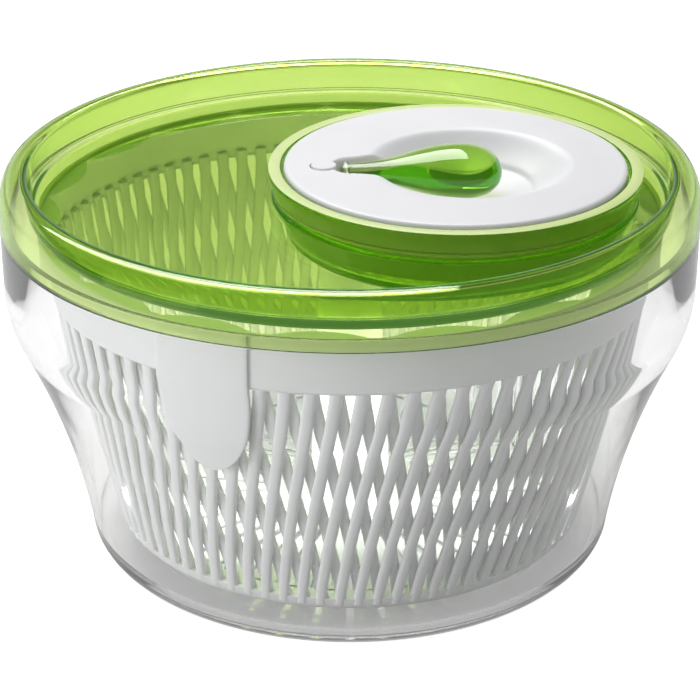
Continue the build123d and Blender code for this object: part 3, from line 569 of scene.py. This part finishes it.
band_section = rounded(
    [
        (BASKET_R - BAND_STEP, BAND_LOW),
        (BASKET_R, BAND_LOW + BAND_STEP),
        (BASKET_R, BASKET_TOP),
        (BASKET_R - BASKET_WALL, BASKET_TOP),
        (BASKET_R - BASKET_WALL, BAND_LOW + BAND_STEP),
        (BASKET_R - BAND_STEP - BASKET_WALL, BAND_LOW),
        (BASKET_R - BAND_STEP, BAND_LOW),
    ],
    BAND_ROUND,
)
band = put_grid("basket_band", turned(on_axis(band_section[:-1])), wrap_rows=True)
dress(band, "basket", white_polypropylene, "white_polypropylene", "basket")


def scalloped_flange(around=SCALLOPS * 20):
    """Flat ring whose inner radius is a row of parabolas, one from each cusp to the next."""
    angle = np.linspace(0, 2 * pi, around, endpoint=False)
    step = 2 * pi / SCALLOPS
    across = ((angle - SCALLOP_START) % step) / step
    inner = CUSP_R - SCALLOP_REACH * (1 - (2 * across - 1) ** 2)
    corners = [(0, FLANGE_THICK), (1, FLANGE_THICK), (1, 0), (0, 0), (0, FLANGE_THICK)]
    section = rounded(corners, FLANGE_ROUND)[:-1]
    share, height = section[:, 0, None], section[:, 1, None]
    radius = inner + share * (BASKET_R - BASKET_WALL / 2 - inner)
    return stacked(radius * np.cos(angle), radius * np.sin(angle), FLANGE_TOP - FLANGE_THICK + height)


flange = put_grid("basket_flange", scalloped_flange(), wrap_rows=True)
dress(flange, "basket", white_polypropylene, "white_polypropylene")

# %% [markdown]
# Below the band are two layers of rounded ribs. The outer ones slant one way and the inner ones the other,
# so the openings are diamonds. Slots could be cut from a cone with booleans, but that leaves sharp edges.
# Here each rib is a rounded bar that runs down the cone, so a whole layer is one array: rib by station by
# point of the section. The ends are drawn to a point inside the band and the floor.

# %% basket ribs
RIBS = 84
RIB_TWIST, TWIST_EASE = radians(9.2), 0.25
RIB_SQUARENESS = 0.75
FLOOR_R = 96.0
CONE_TOP = BASKET_R - BAND_STEP
SLOT_TOP, SLOT_LOW = 4.3, 3.0
RIB_TOP_Z = BAND_LOW + 3.0
RIB_LOW_Z = BASKET_FLOOR + 5.0
OUTER_INSET, OUTER_DEPTH = 1.1, 2.7
INNER_INSET, INNER_DEPTH = 3.3, 2.5


def cone_r(z):
    """Radius of the sloping wall's outside at a height."""
    return FLOOR_R + (z - BASKET_FLOOR) / (BAND_LOW - BASKET_FLOOR) * (CONE_TOP - FLOOR_R)


def superellipse(wave):
    """A sine or cosine wave swollen towards its ends, so that an ellipse becomes a rounded bar."""
    return np.sign(wave) * np.abs(wave) ** RIB_SQUARENESS


def rib_bars(inset, lean, depth, stations=30, section=14):
    """Bars with a superellipse section that run down the cone and turn with the lean's sign by the twist."""
    s = np.linspace(0, 1, stations)[None, :, None]
    t = np.linspace(0, 2 * pi, section, endpoint=False)[None, None, :]
    start = (np.arange(RIBS) + 0.5)[:, None, None] * 2 * pi / RIBS
    z = RIB_TOP_Z + s * (RIB_LOW_Z - RIB_TOP_Z)
    middle = cone_r(z) - inset
    low_share = np.clip((BAND_LOW - z) / (BAND_LOW - BASKET_FLOOR), 0, 1)
    turn = start + lean * RIB_TWIST * ((1 - TWIST_EASE) * low_share + TWIST_EASE * smooth(low_share))
    slot = SLOT_TOP + (SLOT_LOW - SLOT_TOP) * low_share
    half = (2 * pi * cone_r(z) / RIBS - slot) / 2
    radius = middle + depth / 2 * superellipse(np.sin(t))
    angle = turn + half * superellipse(np.cos(t)) / middle
    return stacked(radius * np.cos(angle), radius * np.sin(angle), z)


def put_bars(name, bars, crease=60.0):
    """One mesh of many closed bars[bar, station, point, xyz], with both ends of each bar drawn to a point."""
    count, stations, section = bars.shape[:3]
    tip_top = np.repeat(bars[:, :1].mean(axis=2, keepdims=True), section, axis=2)
    tip_low = np.repeat(bars[:, -1:].mean(axis=2, keepdims=True), section, axis=2)
    bars = np.concatenate([tip_top, bars, tip_low], axis=1)
    rows = stations + 2
    index = np.arange(count * rows * section).reshape(count, rows, section)
    lower, upper = index[:, :-1], index[:, 1:]
    corners = [lower, np.roll(lower, -1, 2), np.roll(upper, -1, 2), upper]
    return put_faces(name, bars.reshape(-1, 3), np.stack(corners, axis=-1).reshape(-1, 4), crease)


outer_ribs = put_bars("basket_outer_ribs", rib_bars(OUTER_INSET, -1, OUTER_DEPTH))
dress(outer_ribs, "basket", white_polypropylene, "white_polypropylene")
inner_ribs = put_bars("basket_inner_ribs", rib_bars(INNER_INSET, 1, INNER_DEPTH))
dress(inner_ribs, "basket", white_polypropylene, "white_polypropylene")

# %% [markdown]
# The basket's floor is an outer ring that turns up into the wall, a ring round the hole in the middle, and
# flat spokes between them that leave slots for the water.

# %% basket floor
SPIGOT_HOLE, HUB_ROUND = 15.2, 0.5
SLOT_START, SLOT_END = 34.0, 81.0
FLOOR_SLOTS, FLOOR_SLOT_W = 36, 3.2
SPOKE_LAP, SPOKE_ROUND = 1.0, 0.3
FLOOR_EDGE_ROUND = 0.6
CORNER = 8.0
CORNER_SWELL, CORNER_HOLLOW, CORNER_FLAT = 0.4, 2.4, 9.0
floor_top = BASKET_FLOOR + BASKET_WALL
corner_top = BASKET_FLOOR + CORNER
corner_r = cone_r(corner_top)
outer_floor = np.concatenate(
    [
        rounded(
            [(SLOT_END, floor_top), (SLOT_END, BASKET_FLOOR), (FLOOR_R - CORNER, BASKET_FLOOR)],
            FLOOR_EDGE_ROUND,
        ),
        soft(
            (FLOOR_R - CORNER, BASKET_FLOOR),
            (FLOOR_R + CORNER_SWELL, BASKET_FLOOR),
            (corner_r, corner_top),
        ),
        soft(
            (corner_r - BASKET_WALL, corner_top),
            (FLOOR_R - CORNER_HOLLOW, floor_top),
            (FLOOR_R - CORNER_FLAT, floor_top),
        ),
    ]
)
floor_rim = put_grid("basket_floor_rim", turned(on_axis(outer_floor)), wrap_rows=True)
dress(floor_rim, "basket", white_polypropylene, "white_polypropylene")
hub_section = rounded(
    [
        (SPIGOT_HOLE, floor_top),
        (SPIGOT_HOLE, BASKET_FLOOR),
        (SLOT_START, BASKET_FLOOR),
        (SLOT_START, floor_top),
        (SPIGOT_HOLE, floor_top),
    ],
    HUB_ROUND,
)
floor_hub = put_grid("basket_floor_hub", turned(on_axis(hub_section[:-1])), wrap_rows=True)
dress(floor_hub, "basket", white_polypropylene, "white_polypropylene")


def floor_spokes():
    """Tapered flat bars between the floor's slots, from the hub ring to the outer ring."""
    s = np.linspace(0, 1, 6)[None, :, None]
    radius = SLOT_START - SPOKE_LAP + s * (SLOT_END - SLOT_START + 2 * SPOKE_LAP)
    start = (np.arange(FLOOR_SLOTS) + 0.5)[:, None, None] * 2 * pi / FLOOR_SLOTS
    half = (2 * pi * radius / FLOOR_SLOTS - FLOOR_SLOT_W) / 2
    corners = rounded([(0, 1), (1, 1), (1, -1), (-1, -1), (-1, 1), (0, 1)], SPOKE_ROUND, 3)[:-1]
    across = half * corners[None, None, :, 0]
    z = (BASKET_FLOOR + BASKET_WALL / 2 + BASKET_WALL / 2 * corners[:, 1])[None, None]
    x = radius * np.cos(start) - across * np.sin(start)
    y = radius * np.sin(start) + across * np.cos(start)
    return stacked(x, y, z)


spokes = put_bars("basket_floor_spokes", floor_spokes())
dress(spokes, "basket", white_polypropylene, "white_polypropylene")

# %% [markdown]
# Two tongues hang from the band, to lift the basket by. Each is a plate with a round lower end that stands
# off the ribs more and more towards its tip, so a finger gets behind it. The half-width follows a curve
# that is straight at first and closes quickly at the end.

# %% basket grip tongues
TONGUES, TONGUE_ANGLE = 2, radians(-115.0)
TONGUE_HALF, TONGUE_LOW = 18.5, BAND_LOW - 38.0
TONGUE_PROUD, TIP_PROUD, TONGUE_WALL = 1.2, 4.5, 2.2
TONGUE_FULLNESS, TONGUE_ROUND = 2.2, 0.12
TOP_SINK, TIP_SHORT, STATION_EASE = 0.05, 0.3, 0.8


def tongue_plates(stations=36):
    """Plates whose half-width is the root of 1 minus a power of the share of the way down."""
    s = np.linspace(0, 1, stations)[None, :, None]
    z = BASKET_TOP - TOP_SINK + s**STATION_EASE * (TONGUE_LOW + TIP_SHORT - BASKET_TOP)
    below = np.clip((BAND_LOW - z) / (BAND_LOW - TONGUE_LOW), 0, 1)
    half = TONGUE_HALF * (1 - below**TONGUE_FULLNESS) ** 0.5
    root, tip = BASKET_R + TONGUE_PROUD, cone_r(TONGUE_LOW) + TIP_PROUD
    outside = root + below * (tip - root)
    corners = rounded([(0, 1), (1, 1), (1, 0), (-1, 0), (-1, 1), (0, 1)], TONGUE_ROUND, 4)[:-1]
    across = half * corners[None, None, :, 0]
    radius = outside - TONGUE_WALL * (1 - corners[None, None, :, 1])
    start = (TONGUE_ANGLE + np.arange(TONGUES) * 2 * pi / TONGUES)[:, None, None]
    angle = start + across / outside
    return stacked(radius * np.cos(angle), radius * np.sin(angle), z)


tongues = put_bars("basket_grip_tongues", tongue_plates(), 40.0)
dress(tongues, "basket", white_polypropylene, "white_polypropylene")

# %% [markdown]
# ## The lid
# The lid's rim is turned about the bowl's axis, and its boss and gear well about the crank's axis, which
# lies to one side. A ring of the grid may have its own centre, so one closed chain of rings does it all:
# the flat floor is simply the run from the last ring of the rim to the first ring of the boss.

# %% lid
LID_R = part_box("lid")[1][0] / MM
CREST_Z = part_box("lid")[1][2] / MM
CRANK_X = 42.0
LID_WALL = 2.0
LID_FLOOR = CREST_Z - 13.6
LID_UNDER = LID_FLOOR - 3.6
SIDE_Z = BOWL_LEDGE + 4.5
CREST_R = LID_R - 8.6
RIM_TOP = LID_R - 12.0
RIM_FOOT = RIM_TOP - 1.2
FLOOR_BEND, UNDER_BEND, UNDER_TURN_Z = 3.0, 1.8, CREST_Z - 3.6
LID_SKIRT_IN, SKIRT_EDGE = LID_R - 2.1, 0.3
BOSS_R, BOSS_BORE, BOSS_TOP = 75.0, 69.5, CREST_Z - 2.4
STEP_Z, WELL_BORE, WELL_OUT = CREST_Z - 13.0, 65.0, 67.6
WELL_FLOOR = CREST_Z - 29.2
WELL_LOW = WELL_FLOOR - 2.6
BUSH_BORE, BUSH_BOSS, BUSH_LOW = 7.05, 10.45, WELL_FLOOR - 11.0
BOSS_ROUND, WELL_ROUND, BUSH_ROUND = 1.8, 2.0, 0.6
BOSS_RUN, BUSH_RUN = 4.0, 3.0
LID_ROUND = 256
under_crest = CREST_Z - LID_WALL


def leaning_r(z):
    """Radius of the leaning wall round the wheel, from the lip down to the bottom of the well."""
    return WELL_OUT + (BOSS_R - WELL_OUT) * (z - WELL_LOW) / (BOSS_TOP - WELL_LOW)


rim_over = np.concatenate(
    [
        [(LID_R, BOWL_LEDGE + SKIRT_EDGE)],
        soft((LID_R, SIDE_Z), (LID_R, CREST_Z), (CREST_R, CREST_Z), 24),
        soft((CREST_R, CREST_Z), (RIM_TOP, CREST_Z), (RIM_TOP, under_crest), 12)[1:],
        soft(
            (RIM_FOOT, LID_FLOOR + FLOOR_BEND),
            (RIM_FOOT, LID_FLOOR),
            (RIM_FOOT - FLOOR_BEND, LID_FLOOR),
            10,
        ),
    ]
)
boss_over = rounded(
    [
        (leaning_r(LID_FLOOR) + BOSS_RUN, LID_FLOOR),
        (leaning_r(LID_FLOOR), LID_FLOOR),
        (BOSS_R, BOSS_TOP),
        (BOSS_BORE, BOSS_TOP),
        (BOSS_BORE, STEP_Z),
        (WELL_BORE, STEP_Z),
        (WELL_BORE, WELL_FLOOR),
        (WELL_BORE - BOSS_RUN, WELL_FLOOR),
    ],
    BOSS_ROUND,
    8,
)
bush_hole = rounded(
    [
        (BUSH_BORE + BUSH_RUN, WELL_FLOOR),
        (BUSH_BORE, WELL_FLOOR),
        (BUSH_BORE, BUSH_LOW),
        (BUSH_BOSS, BUSH_LOW),
        (BUSH_BOSS, WELL_LOW),
        (BUSH_BOSS + BUSH_RUN, WELL_LOW),
    ],
    BUSH_ROUND,
)
well_under = rounded(
    [
        (WELL_OUT - BOSS_RUN, WELL_LOW),
        (WELL_OUT, WELL_LOW),
        (leaning_r(LID_UNDER), LID_UNDER),
        (leaning_r(LID_UNDER) + BOSS_RUN, LID_UNDER),
    ],
    WELL_ROUND,
    8,
)
foot_back, top_back = RIM_FOOT + LID_WALL, RIM_TOP + LID_WALL
rim_under = np.concatenate(
    [
        soft(
            (RIM_FOOT - UNDER_BEND, LID_UNDER),
            (foot_back, LID_UNDER),
            (foot_back, LID_FLOOR + FLOOR_BEND),
            10,
        ),
        soft((top_back, UNDER_TURN_Z), (top_back, under_crest), (CREST_R, under_crest), 10),
        soft((CREST_R, under_crest), (LID_SKIRT_IN, under_crest), (LID_SKIRT_IN, SIDE_Z), 20)[1:],
        [
            (LID_SKIRT_IN, BOWL_LEDGE + SKIRT_EDGE),
            (LID_SKIRT_IN + SKIRT_EDGE, BOWL_LEDGE),
            (LID_R - SKIRT_EDGE, BOWL_LEDGE),
        ],
    ]
)
lid_rings = np.concatenate(
    [
        on_axis(rim_over),
        on_axis(boss_over, CRANK_X),
        on_axis(bush_hole),
        on_axis(well_under, CRANK_X),
        on_axis(rim_under),
    ]
)
lid = put_grid("lid_shell", turned(lid_rings, LID_ROUND), wrap_rows=True)
dress(lid, "lid", green_styrene, "green_styrene", "lid")

# %% [markdown]
# The flat top of the boss, round the wheel, looks pale and dull in the photograph beside the polished
# walls, so it is taken to be grained. A paper-thin ring with the grained finish lies half sunk in the lip
# and gives that. Its pale opaque lime is a painted highlight along the lip.

# %% grained top of the lip, pale as a painted highlight
LIP_HALF, LIP_ROUND = 0.15, 0.1
lip_in, lip_out = BOSS_BORE + 0.5, BOSS_R - 0.4
lip_section = rounded(
    [
        (lip_in, BOSS_TOP - LIP_HALF),
        (lip_out, BOSS_TOP - LIP_HALF),
        (lip_out, BOSS_TOP + LIP_HALF),
        (lip_in, BOSS_TOP + LIP_HALF),
        (lip_in, BOSS_TOP - LIP_HALF),
    ],
    LIP_ROUND,
    3,
)
# a pale ring over the lip: painted highlight
lip = put_grid("lid_lip_painted_highlight", turned(on_axis(lip_section[:-1], CRANK_X)), wrap_rows=True)
dress(lip, "lid", green_grained_painted_highlight, "green_styrene")

# %% [markdown]
# The wheel turns on a hollow post in the lid's well, and a screw holds it there. The post is moulded with
# the lid, so it has the lid's finish.

# %% axle post in the lid's well
AXLE_BORE, AXLE_POST_R, AXLE_ROUND, AXLE_AROUND = 2.05, 3.95, 0.4, 64
axle_top, axle_low = WELL_FLOOR + 7.0, WELL_FLOOR - 2.5
axle_section = rounded(
    [
        (AXLE_BORE, axle_low),
        (AXLE_POST_R, axle_low),
        (AXLE_POST_R, axle_top),
        (AXLE_BORE, axle_top),
        (AXLE_BORE, axle_low),
    ],
    AXLE_ROUND,
)
axle_rings = on_axis(axle_section[:-1], CRANK_X)
axle_post = put_grid("lid_axle_post", turned(axle_rings, AXLE_AROUND), wrap_rows=True)
dress(axle_post, "lid", green_styrene, "green_styrene")

# %% [markdown]
# ## The crank wheel
# The wheel's face is flat, with one soft pocket: a round dish that narrows into a trough for the lever.
# The dish is part of a sphere. The distance to the trough's outline tells how far inside it a point is,
# and a smooth step of that distance gives its depth. A soft maximum joins the two, so the edges roll over
# as they do on the moulding. The depth is a function of the place alone, so the face is one polar grid.

# %% crank wheel
WHEEL_R, FACE_R, WHEEL_IN = 68.5, 65.5, 66.2
WHEEL_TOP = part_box("crank_wheel")[1][2] / MM
SKIRT_LOW = 149.6
WHEEL_TURN = radians(5.0)
EDGE_ROUND, SKIRT_ROUND = 2.0, 0.6
FACE_WALL, SKIRT_ROOF = 2.4, WHEEL_TOP - 2.6
DISH_U, DISH_R, DISH_DEPTH = 6.0, 39.0, 15.7
TAIL_U, TAIL_R, TAIL_DEPTH = -40.8, 8.0, 10.4
TROUGH_END_R, TROUGH_FLARE = DISH_R * 0.72, 1.25
ROLL_OUT, ROLL_WIDTH = 1.6, 5.2
DISH_SHARPNESS, JOIN_SHARPNESS = 1.1, 0.9
PLUG_U, PLUG_HOLE, PLUG_SINK, PLUG_EDGE = -52.6, 5.5, 1.8, 0.5
FINE_RINGS, FINE_ANGLE, BACK_EVERY = (48.5, 62.0), 0.14, 5


def on_wheel(u, v, z):
    """Points of the wheel's own axes, turned to where the wheel stands and moved to the crank's axis."""
    x = CRANK_X + u * cos(WHEEL_TURN) - v * sin(WHEEL_TURN)
    y = u * sin(WHEEL_TURN) + v * cos(WHEEL_TURN)
    return stacked(x, y, z)


def pocket_depth(u, v):
    """Depth below the wheel's face: the soft maximum of a spherical dish and a tapering trough."""
    radius = np.hypot(u - DISH_U, v)
    sphere = (DISH_R**2 + DISH_DEPTH**2) / (2 * DISH_DEPTH)
    dish = np.sqrt(np.maximum(sphere**2 - radius**2, 0)) - (sphere - DISH_DEPTH)
    along = np.clip((u - TAIL_U) / (DISH_U - TAIL_U), 0, 1)
    half = TAIL_R + along**TROUGH_FLARE * (TROUGH_END_R - TAIL_R)
    nearest = TAIL_U + along * (DISH_U - TAIL_U)
    inside = half - np.hypot(u - nearest, v)
    trough = TAIL_DEPTH * smooth((inside + ROLL_OUT) / ROLL_WIDTH)
    soft_dish = np.log1p(np.exp(dish * DISH_SHARPNESS)) / DISH_SHARPNESS
    both = np.exp(soft_dish * JOIN_SHARPNESS) + np.exp(trough * JOIN_SHARPNESS) - 1
    return np.log(both) / JOIN_SHARPNESS


def wheel_face():
    """Polar grid over the face, closer near the plug hole, then down the skirt and back on fewer rings."""
    ring = np.unique(np.concatenate([np.linspace(0, FACE_R, 150), np.linspace(*FINE_RINGS, 60)]))
    evenly = np.linspace(0, 2 * pi, 280, endpoint=False)
    near_plug = np.linspace(pi - FINE_ANGLE, pi + FINE_ANGLE, 70)
    angle = np.unique(np.concatenate([evenly, near_plug]))
    u = ring[:, None] * np.cos(angle)
    v = ring[:, None] * np.sin(angle)
    hole = smooth((PLUG_HOLE + PLUG_EDGE / 2 - np.hypot(u - PLUG_U, v)) / PLUG_EDGE)
    z = WHEEL_TOP - np.maximum(pocket_depth(u, v), hole * PLUG_SINK)
    face = on_wheel(u, v, z)
    brim = soft(
        (WHEEL_R - EDGE_ROUND, WHEEL_TOP),
        (WHEEL_R, WHEEL_TOP),
        (WHEEL_R, WHEEL_TOP - EDGE_ROUND),
        9,
    )
    skirt = rounded(
        [
            (WHEEL_R, SKIRT_LOW + EDGE_ROUND),
            (WHEEL_R, SKIRT_LOW),
            (WHEEL_IN, SKIRT_LOW),
            (WHEEL_IN, SKIRT_ROOF),
        ],
        SKIRT_ROUND,
    )
    edge = np.concatenate([brim, skirt])
    radius, height = edge[:, 0, None], edge[:, 1, None]
    side = on_wheel(radius * np.cos(angle), radius * np.sin(angle), height)
    back = face[::BACK_EVERY][::-1] - np.array([0, 0, FACE_WALL])
    return np.concatenate([face, side, back])


wheel = put_grid("crank_wheel_moulding", wheel_face(), crease=50.0)
dress(wheel, "crank_wheel", white_abs, "white_abs", "crank_wheel")

# %% [markdown]
# ## The lever
# A solid drop of green styrene: a slim neck at the hinge that swells into a bulb. Its section is an
# ellipse, wider than it is thick, and the outline is two Bezier curves, as in the CAD. A solid drop works
# as a lens, which gives the dark and bright streaks in the bulb.

# %% lever
HINGE_U, HINGE_Z = -43.5, WHEEL_TOP - 2.6
LEVER_TILT = radians(-1.5)
NECK_R, BULB_R, WIDENING = 3.0, 10.2, 1.62
LEVER_REACH, BULB_END = 46.5, 15.6
NECK_HANDLE, BULB_HANDLE, END_HANDLE = 0.45, 0.6, 0.6


def lever_drop(around=96):
    """Rings along the lever: x and half-thickness from the outline, an ellipse across, then tilted."""
    neck, bulb = (0, NECK_R), (LEVER_REACH, BULB_R)
    tip_x = LEVER_REACH + BULB_END
    swell = [(LEVER_REACH * NECK_HANDLE, NECK_R), (LEVER_REACH * BULB_HANDLE, BULB_R)]
    close = [(LEVER_REACH + BULB_END * END_HANDLE, BULB_R), (tip_x, BULB_R * END_HANDLE)]
    outline = np.concatenate(
        [
            soft((-NECK_R, 0), (-NECK_R, NECK_R), neck, 10),
            cubic(neck, *swell, bulb, 48)[1:],
            cubic(bulb, *close, (tip_x, 0), 28)[1:],
        ]
    )
    angle = np.linspace(0, 2 * pi, around, endpoint=False)
    x, thick = outline[:, 0, None], outline[:, 1, None]
    y, z = WIDENING * thick * np.cos(angle), thick * np.sin(angle)
    along = HINGE_U + x * cos(LEVER_TILT) - z * sin(LEVER_TILT)
    return on_wheel(along, y, HINGE_Z + x * sin(LEVER_TILT) + z * cos(LEVER_TILT))


lever = put_grid("lever_drop", lever_drop(), crease=80.0)
dress(lever, "lever", lever_styrene, "green_lever_styrene", "crank_lever")

# %% [markdown]
# ## Carried-over CAD pieces
# The gears, bushes, screws and the shaft are right as the CAD made them. They only need their finish.

# %% finishes for CAD pieces
FINISHES = {
    "natural_acetal": natural_acetal,
    "stainless_steel": stainless_steel,
    "white_abs": white_abs,
    "white_polypropylene": white_polypropylene,
}
for part in frame["record"]["subparts"]:
    material = FINISHES.get(part["material_slot"])
    if material:
        node = nodes[part["node"]]
        node.data.materials.clear()
        node.data.materials.append(material)
        print(part["node"], material.name)

# %% [markdown]
# ## The studio
# The photograph is a studio shot on white. To the eye the world is plain white. Clear plastic shows what
# it mirrors and bends, so for those rays the room is bright at the horizon and dark above, with a dark
# flag on either side, as a photographer places them to draw the edges of glass. As a lamp the room is even
# and weak.

# %% world
ROOM_LAMP, ROOM_BRIGHT, ROOM_DARK = 0.34, 1.0, 0.1
ROOM_BRIGHT_UP_TO, ROOM_DARK_FROM = 0.05, 0.35
FLAG_DARK, FLAG_FROM, FLAG_FULL = 0.05, 0.7, 0.9

world = bpy.data.worlds.new("studio")
bpy.context.scene.world = world
world.use_nodes = True
studio = world.node_tree
studio.nodes.clear()
heading = add(studio, "ShaderNodeTexCoord")
way = add(studio, "ShaderNodeSeparateXYZ", links={"Vector": heading.outputs["Generated"]})
wall = add(
    studio,
    "ShaderNodeMapRange",
    inputs={
        "From Min": ROOM_BRIGHT_UP_TO,
        "From Max": ROOM_DARK_FROM,
        "To Min": ROOM_BRIGHT,
        "To Max": ROOM_DARK,
    },
    links={"Value": way.outputs["Z"]},
)
sideways = add(studio, "ShaderNodeMath", settings={"operation": "ABSOLUTE"}, links={0: way.outputs["X"]})
flags = add(
    studio,
    "ShaderNodeMapRange",
    inputs={"From Min": FLAG_FROM, "From Max": FLAG_FULL, "To Min": 1.0, "To Max": FLAG_DARK},
    links={"Value": sideways.outputs[0]},
)
mirrored = add(
    studio,
    "ShaderNodeMath",
    settings={"operation": "MULTIPLY"},
    links={0: wall.outputs["Result"], 1: flags.outputs["Result"]},
)
ray = add(studio, "ShaderNodeLightPath")
shown = add(
    studio,
    "ShaderNodeMath",
    settings={"operation": "MAXIMUM"},
    links={0: ray.outputs["Is Glossy Ray"], 1: ray.outputs["Is Transmission Ray"]},
)
room = add(
    studio,
    "ShaderNodeMix",
    inputs={"A": ROOM_LAMP},
    links={"Factor": shown.outputs[0], "B": mirrored.outputs[0]},
)
strength = add(
    studio,
    "ShaderNodeMath",
    settings={"operation": "MAXIMUM"},
    links={0: room.outputs["Result"], 1: ray.outputs["Is Camera Ray"]},
)
sky = add(
    studio,
    "ShaderNodeBackground",
    inputs={"Color": linear("#ffffff")},
    links={"Strength": strength.outputs[0]},
)
add(studio, "ShaderNodeOutputWorld", links={"Surface": sky.outputs["Background"]})
print("world", world.name, "lamp level", ROOM_LAMP)

# %% [markdown]
# The floor is white paper. A glow for the camera alone lifts it to the white of the background. Rays that
# come through plastic get a weaker glow, weakest under the foot, as in the photograph: that dip is a painted
# shadow under the bowl. The floor lies a hair below the foot, so that the two don't fight for the same place.

# %% floor
FLOOR_HALF, FLOOR_Z = 6.0, -0.0004
FLOOR_GLOW, FLOOR_THROUGH, FLOOR_PAINTED_SHADOW = 0.8, 0.27, 0.2
UNDER_FOOT_M, CLEAR_OF_FOOT_M = 0.09, 0.2

floor_mesh = bpy.data.meshes.new("studio_floor")
floor_corners = [(FLOOR_HALF * x, FLOOR_HALF * y, FLOOR_Z) for x, y in ((-1, -1), (1, -1), (1, 1), (-1, 1))]
floor_mesh.from_pydata(floor_corners, [], [(0, 1, 2, 3)])
floor = bpy.data.objects.new("studio_floor", floor_mesh)
bpy.context.scene.collection.objects.link(floor)
paper, paper_tree, paper_shader, _ = finish(
    "white_paper_floor",
    {
        "Base Color": linear("#e4e4e4"),
        "Roughness": 0.9,
        "Specular IOR Level": 0.0,
        "Emission Color": linear("#ffffff"),
    },
)
spot = add(paper_tree, "ShaderNodeTexCoord")
reach = add(
    paper_tree,
    "ShaderNodeVectorMath",
    settings={"operation": "LENGTH"},
    links={0: spot.outputs["Object"]},
)
# painted shadow: the glow seen through plastic drops to its lowest under the foot
painted_foot_shadow_ramp = add(
    paper_tree,
    "ShaderNodeMapRange",
    inputs={
        "From Min": UNDER_FOOT_M,
        "From Max": CLEAR_OF_FOOT_M,
        "To Min": FLOOR_PAINTED_SHADOW,
        "To Max": FLOOR_THROUGH,
    },
    links={"Value": reach.outputs["Value"]},
)
paper_ray = add(paper_tree, "ShaderNodeLightPath")
through = add(
    paper_tree,
    "ShaderNodeMath",
    settings={"operation": "MULTIPLY"},
    links={0: painted_foot_shadow_ramp.outputs["Result"], 1: paper_ray.outputs["Is Transmission Ray"]},
)
glow = add(
    paper_tree,
    "ShaderNodeMix",
    inputs={"B": FLOOR_GLOW},
    links={"Factor": paper_ray.outputs["Is Camera Ray"], "A": through.outputs[0]},
)
paper_tree.links.new(glow.outputs["Result"], paper_shader.inputs["Emission Strength"])
floor_mesh.materials.append(paper)
print("floor", floor.name)

# %% [markdown]
# A softbox on the left models the shapes, a weak one on the right fills them, and a large one above and
# behind lights the lid and the wheel. The basket stands inside two clear skins, which take some of the
# light, so the left softbox has a twin that lights only the basket's pieces. Two small lamps inside the
# basket stand in for the light that white walls throw about in there. Apart from the rear softbox, no lamp
# is mirrored.

# %% lamps
LEFT, LOW_TARGET, LID_TARGET = (-1.15, -0.62, 0.36), (0, 0, 0.08), (0, 0, 0.12)
RIGHT, REAR = (1.1, -0.1, 0.5), (-0.2, 0.75, 1.1)


def aim(thing, target):
    """Turns a lamp or camera so that its -Z axis points at the target."""
    line = Vector(target) - Vector(thing.location)
    thing.rotation_euler = line.to_track_quat("-Z", "Y").to_euler()


def softbox(name, place, target, size, power, mirrored=False):
    """Square area lamp that faces a target."""
    light = bpy.data.lights.new(name, "AREA")
    light.shape = "SQUARE"
    light.size = size
    light.energy = power
    lamp = bpy.data.objects.new(name, light)
    lamp.location = place
    lamp.visible_glossy = mirrored
    aim(lamp, target)
    bpy.context.scene.collection.objects.link(lamp)
    print(name, power, "W")
    return lamp


softbox("softbox_left", LEFT, LOW_TARGET, 0.8, 5.0)
softbox("softbox_right", RIGHT, LOW_TARGET, 0.6, 1.2)
softbox("softbox_rear", REAR, LID_TARGET, 0.8, 12.5, mirrored=True)
twin = softbox("softbox_left_of_basket", LEFT, LOW_TARGET, 0.8, 8.0)
lit_pieces = bpy.data.collections.new("lit_from_the_left")
for piece in (band, flange, outer_ribs, inner_ribs, floor_rim, floor_hub, spokes, tongues):
    lit_pieces.objects.link(piece)
twin.light_linking.receiver_collection = lit_pieces
for side in (-1, 1):
    place, target = (0.06 * side, -0.05, 0.065), (0.05 * side, 0.1, 0.03)
    inside = softbox(f"lamp_inside_{side}", place, target, 0.06, 0.1)
    inside.visible_camera = False
    inside.visible_transmission = False

# %% [markdown]
# The camera comes from a fit to the photograph's outline: its height above the table, its distance, its
# focal length in pixels and the row of the picture that its axis meets.

# %% camera
ELEVATION, DISTANCE = radians(24.99), 0.9
FOCUS_PX, FRAME_PX, AXIS_ROW_PX = 2174.0, 700.0, 343.7
CAMERA_TARGET = (0.0, 0.0, 0.08)
camera_data = bpy.data.cameras.new("camera")
camera_data.sensor_width = 36.0
camera_data.lens = FOCUS_PX / FRAME_PX * camera_data.sensor_width
camera_data.shift_y = (AXIS_ROW_PX - FRAME_PX / 2) / FRAME_PX
camera_data.clip_end = 50.0
camera = bpy.data.objects.new("camera", camera_data)
camera.location = (0.0, -DISTANCE * cos(ELEVATION), CAMERA_TARGET[2] + DISTANCE * sin(ELEVATION))
aim(camera, CAMERA_TARGET)
bpy.context.scene.collection.objects.link(camera)
bpy.context.scene.camera = camera
bpy.context.scene.view_settings.view_transform = "Standard"
print("camera with a lens of", round(camera_data.lens, 1), "mm")
